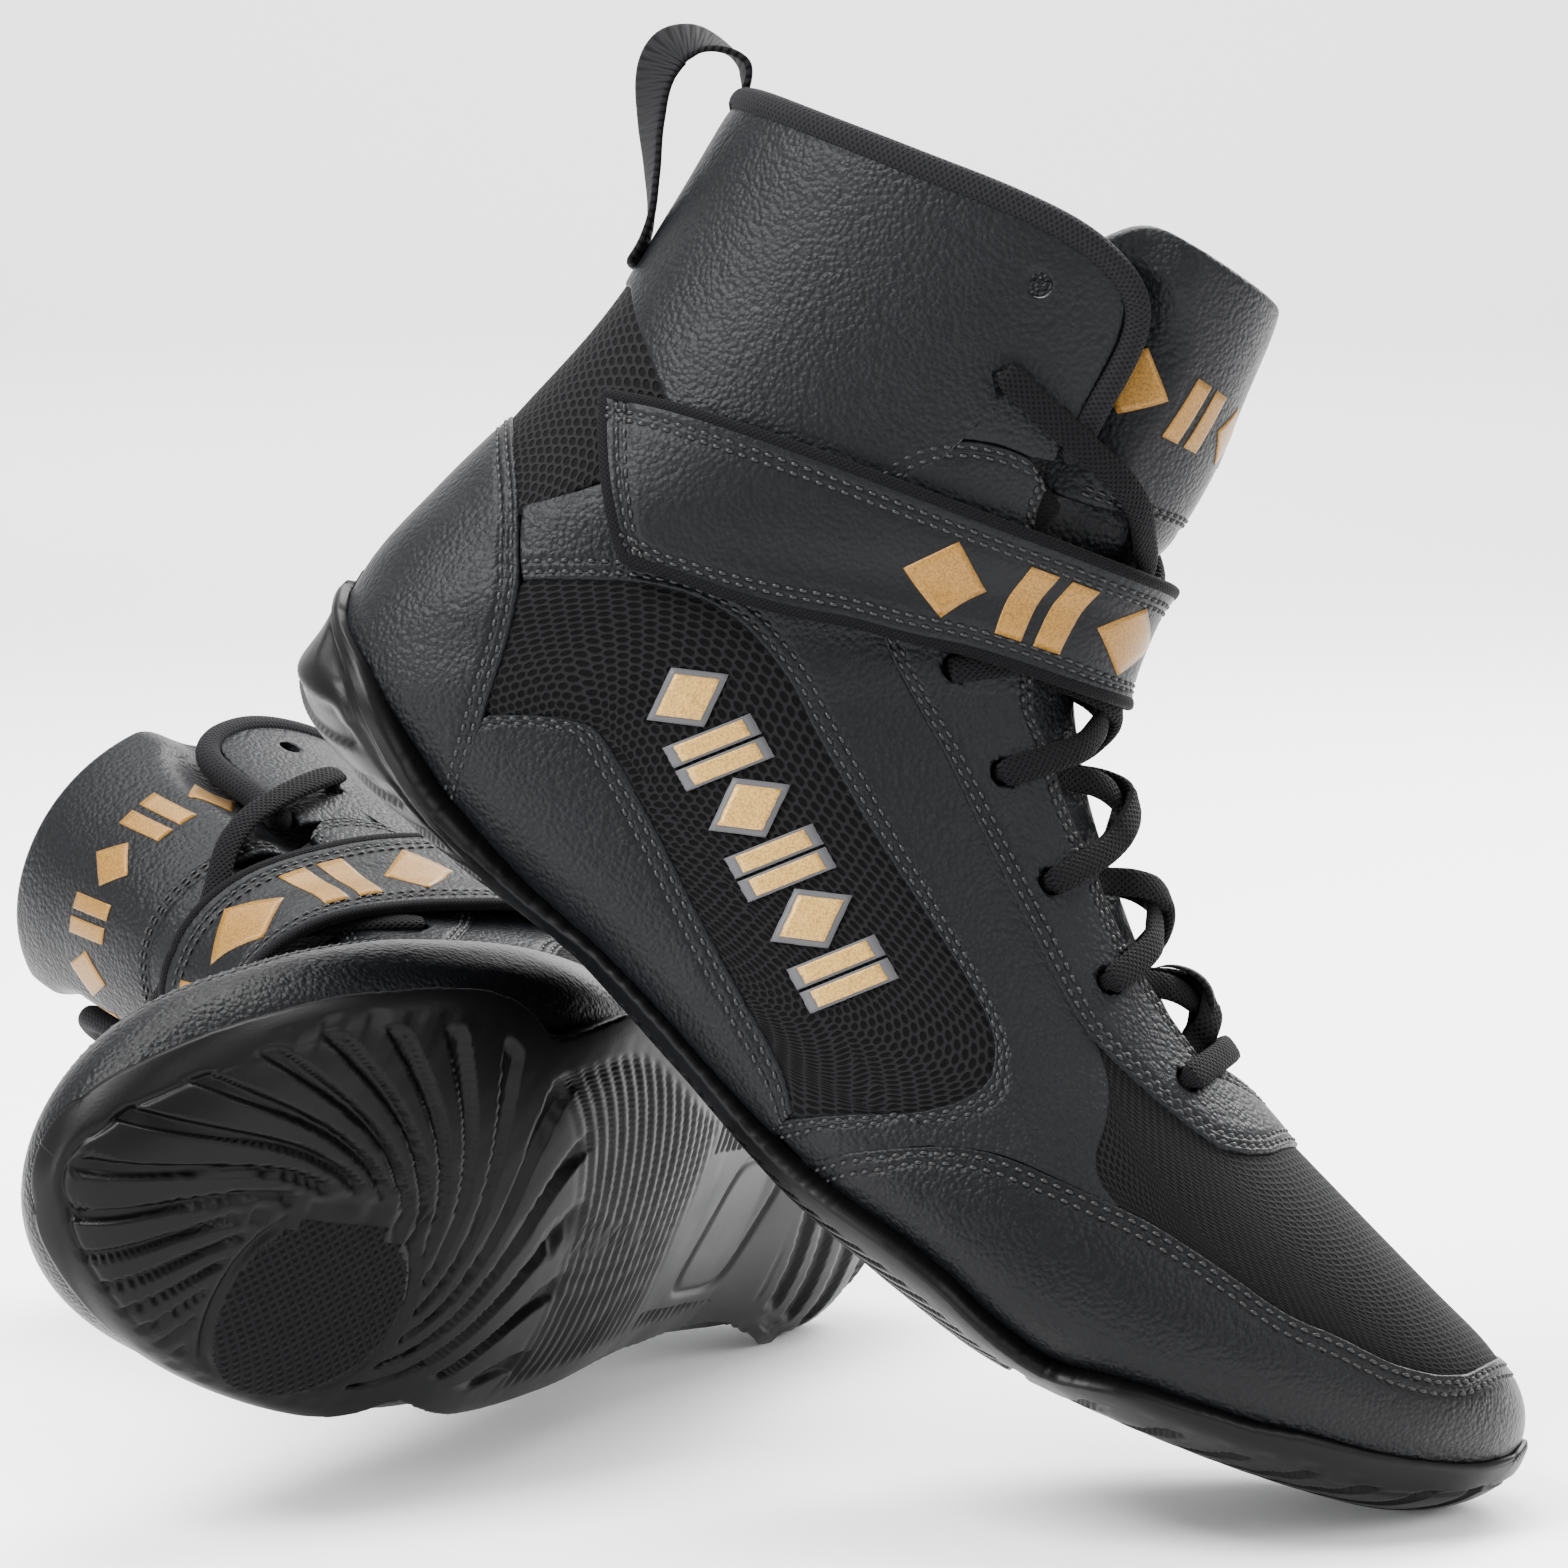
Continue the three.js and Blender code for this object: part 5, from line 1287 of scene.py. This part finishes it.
def prints(boot, lines, strap_bend):
    """The gold prints: generic marks, no lettering."""
    def on_strap(u, v):
        a, b = (edge.reshape(*u.shape, 2) for edge in lines.edges((0.245 + 0.51 * u).ravel()))
        return b + (a - b) * (0.2 + 0.6 * v)[..., None]

    def on_side(u, v):
        x = 33 + 69 * u
        z = 50.2 - 21.5 * u + 13.2 * v
        q = from_side(np.stack([(x + 4.2 * v - 2.5).ravel(), z.ravel()], 1)).reshape(*x.shape, 2)
        return np.stack([q[..., 0], -q[..., 1]], -1)

    def on_tongue(u, v):
        th = 2.0 * u - 1.0
        return np.stack([18.2 + (v - 0.5) * 0.98 - 0.2 * np.cos(th * 1.2), th], -1)

    shapes = motif(PRINT_CELLS, PRINT_SLANT)
    strap_print = marks(shapes, on_strap, lambda s, th: strap_rise(s, th) + STRAP_TOP_FACE + 0.02)
    boot.add("strap_print", *strap_print, None, "gold", bend=strap_bend)
    film = marks(shapes, on_side, lambda s, th: np.full(s.shape, -0.15), thick=0.3, grow=0.28)
    boot.add("side_film", *film, None, "film")
    emblem = marks(shapes, on_side, lambda s, th: np.full(s.shape, 0.2))
    boot.add("side_emblem", *emblem, None, "pale_gold", ["side_emblem"])
    tongue_print = marks(shapes, on_tongue, lambda s, th: 0.62 - 7.0 * tongue_inside(s, th))
    boot.add("tongue_print", *tongue_print, None, "gold", body="tongue_flap")


def build(name):
    """One whole boot; its stitches come last, along the lines its panels left."""
    boot = Boot(name)
    upper = Upper(boot)
    rand = side(RAND)
    outsole(boot)
    heel_panels(upper, rand)
    side_panels(upper, rand, "lateral", lambda c: c)
    side_panels(upper, rand, "medial", mirrored)
    front_panels(upper, rand)
    inside(boot)
    tongue(boot)
    trim(boot)
    lines = StrapLines()
    bend = ankle_strap(boot, lines)
    prints(boot, lines, bend)
    boot.sew("stitching", upper.lines)
    return boot


# ---- camera, floor and light (m) ----
# The camera is a long way off and looks slightly down; its lens is in units of the picture's width.
CAMERA_TILT = 7.57
CAMERA_PLACE = (0, -1.4054, 0.3276)
CAMERA_SET_FOR = (-0.0830, 0, 0.1432)  # where the right boot's own origin stood for that place
SENSOR = 36
LENS_IN_SENSORS = 7273 / 1568
FLOOR_COLOR = (0.93, 0.93, 0.935)
FLOOR_HALF_WIDTH = 7.0
FLOOR_FRONT = -6.0
BACKDROP_START = 3.2
BACKDROP_TOP = 5.0
WORLD_STRENGTH = 1.6
MIDDLE = (0, 0, 0.12)
# name, place, aim, size, power
LAMPS = (
    ("key", (-0.8, -0.7, 1.25), MIDDLE, 0.6, 62),
    ("fill", (1.2, -0.9, 0.8), MIDDLE, 0.7, 14),
    ("rim", (0.7, 1.0, 1.0), MIDDLE, 0.8, 45),
    ("top", (-0.1, 0.2, 1.5), MIDDLE, 0.9, 46),
    ("low", (-0.95, -0.8, 0.2), MIDDLE, 0.4, 9),
    ("backdrop", (0, 1.9, 1.6), (0, 4.2, 0.9), 1.6, 75),
)


def stage():
    shift = BOOTS["right"].matrix.translation - Vector(CAMERA_SET_FOR)
    camera = bpy.data.cameras.new("camera")
    camera.lens = SENSOR * LENS_IN_SENSORS
    camera.sensor_width = SENSOR
    camera.clip_end = 20
    eye = bpy.data.objects.new("camera", camera)
    eye.location = Vector(CAMERA_PLACE) + shift
    eye.rotation_euler = (math.radians(90 - CAMERA_TILT), 0, 0)
    bpy.context.scene.collection.objects.link(eye)
    bpy.context.scene.camera = eye

    # The floor runs back and curves up into a plain backdrop.
    profile = [(FLOOR_FRONT, 0.0), (BACKDROP_START, 0.0)]
    profile += [(BACKDROP_START + math.sin(a), 1 - math.cos(a)) for a in np.linspace(0.1, PI / 2, 12)]
    profile.append((BACKDROP_START + 1, BACKDROP_TOP))
    points = [(x, y, z) for y, z in profile for x in (-FLOOR_HALF_WIDTH, FLOOR_HALF_WIDTH)]
    faces = [(2 * k, 2 * k + 1, 2 * k + 3, 2 * k + 2) for k in range(len(profile) - 1)]
    floor_mesh = bpy.data.meshes.new("floor")
    floor_mesh.from_pydata(points, [], faces)
    floor_mesh.polygons.foreach_set("use_smooth", [True] * len(faces))
    floor = bpy.data.objects.new("floor", floor_mesh)
    bpy.context.scene.collection.objects.link(floor)
    floor_mesh.materials.append(material("floor", FLOOR_COLOR, 0.6))

    world = bpy.data.worlds.new("studio")
    bpy.context.scene.world = world
    world.use_nodes = True
    background = world.node_tree.nodes["Background"]
    background.inputs["Color"].default_value = (1.0, 1.0, 1.0, 1)
    background.inputs["Strength"].default_value = WORLD_STRENGTH

    for label, where, target, size, power in LAMPS:
        lamp = bpy.data.lights.new(label, "AREA")
        lamp.size = size
        lamp.energy = power
        obj = bpy.data.objects.new(label, lamp)
        obj.location = where
        aim = Vector(target) - Vector(where)
        obj.rotation_euler = aim.to_track_quat("-Z", "Y").to_euler()
        bpy.context.scene.collection.objects.link(obj)


BOOTS = {name: build(name) for name in ("right", "left")}
stage()
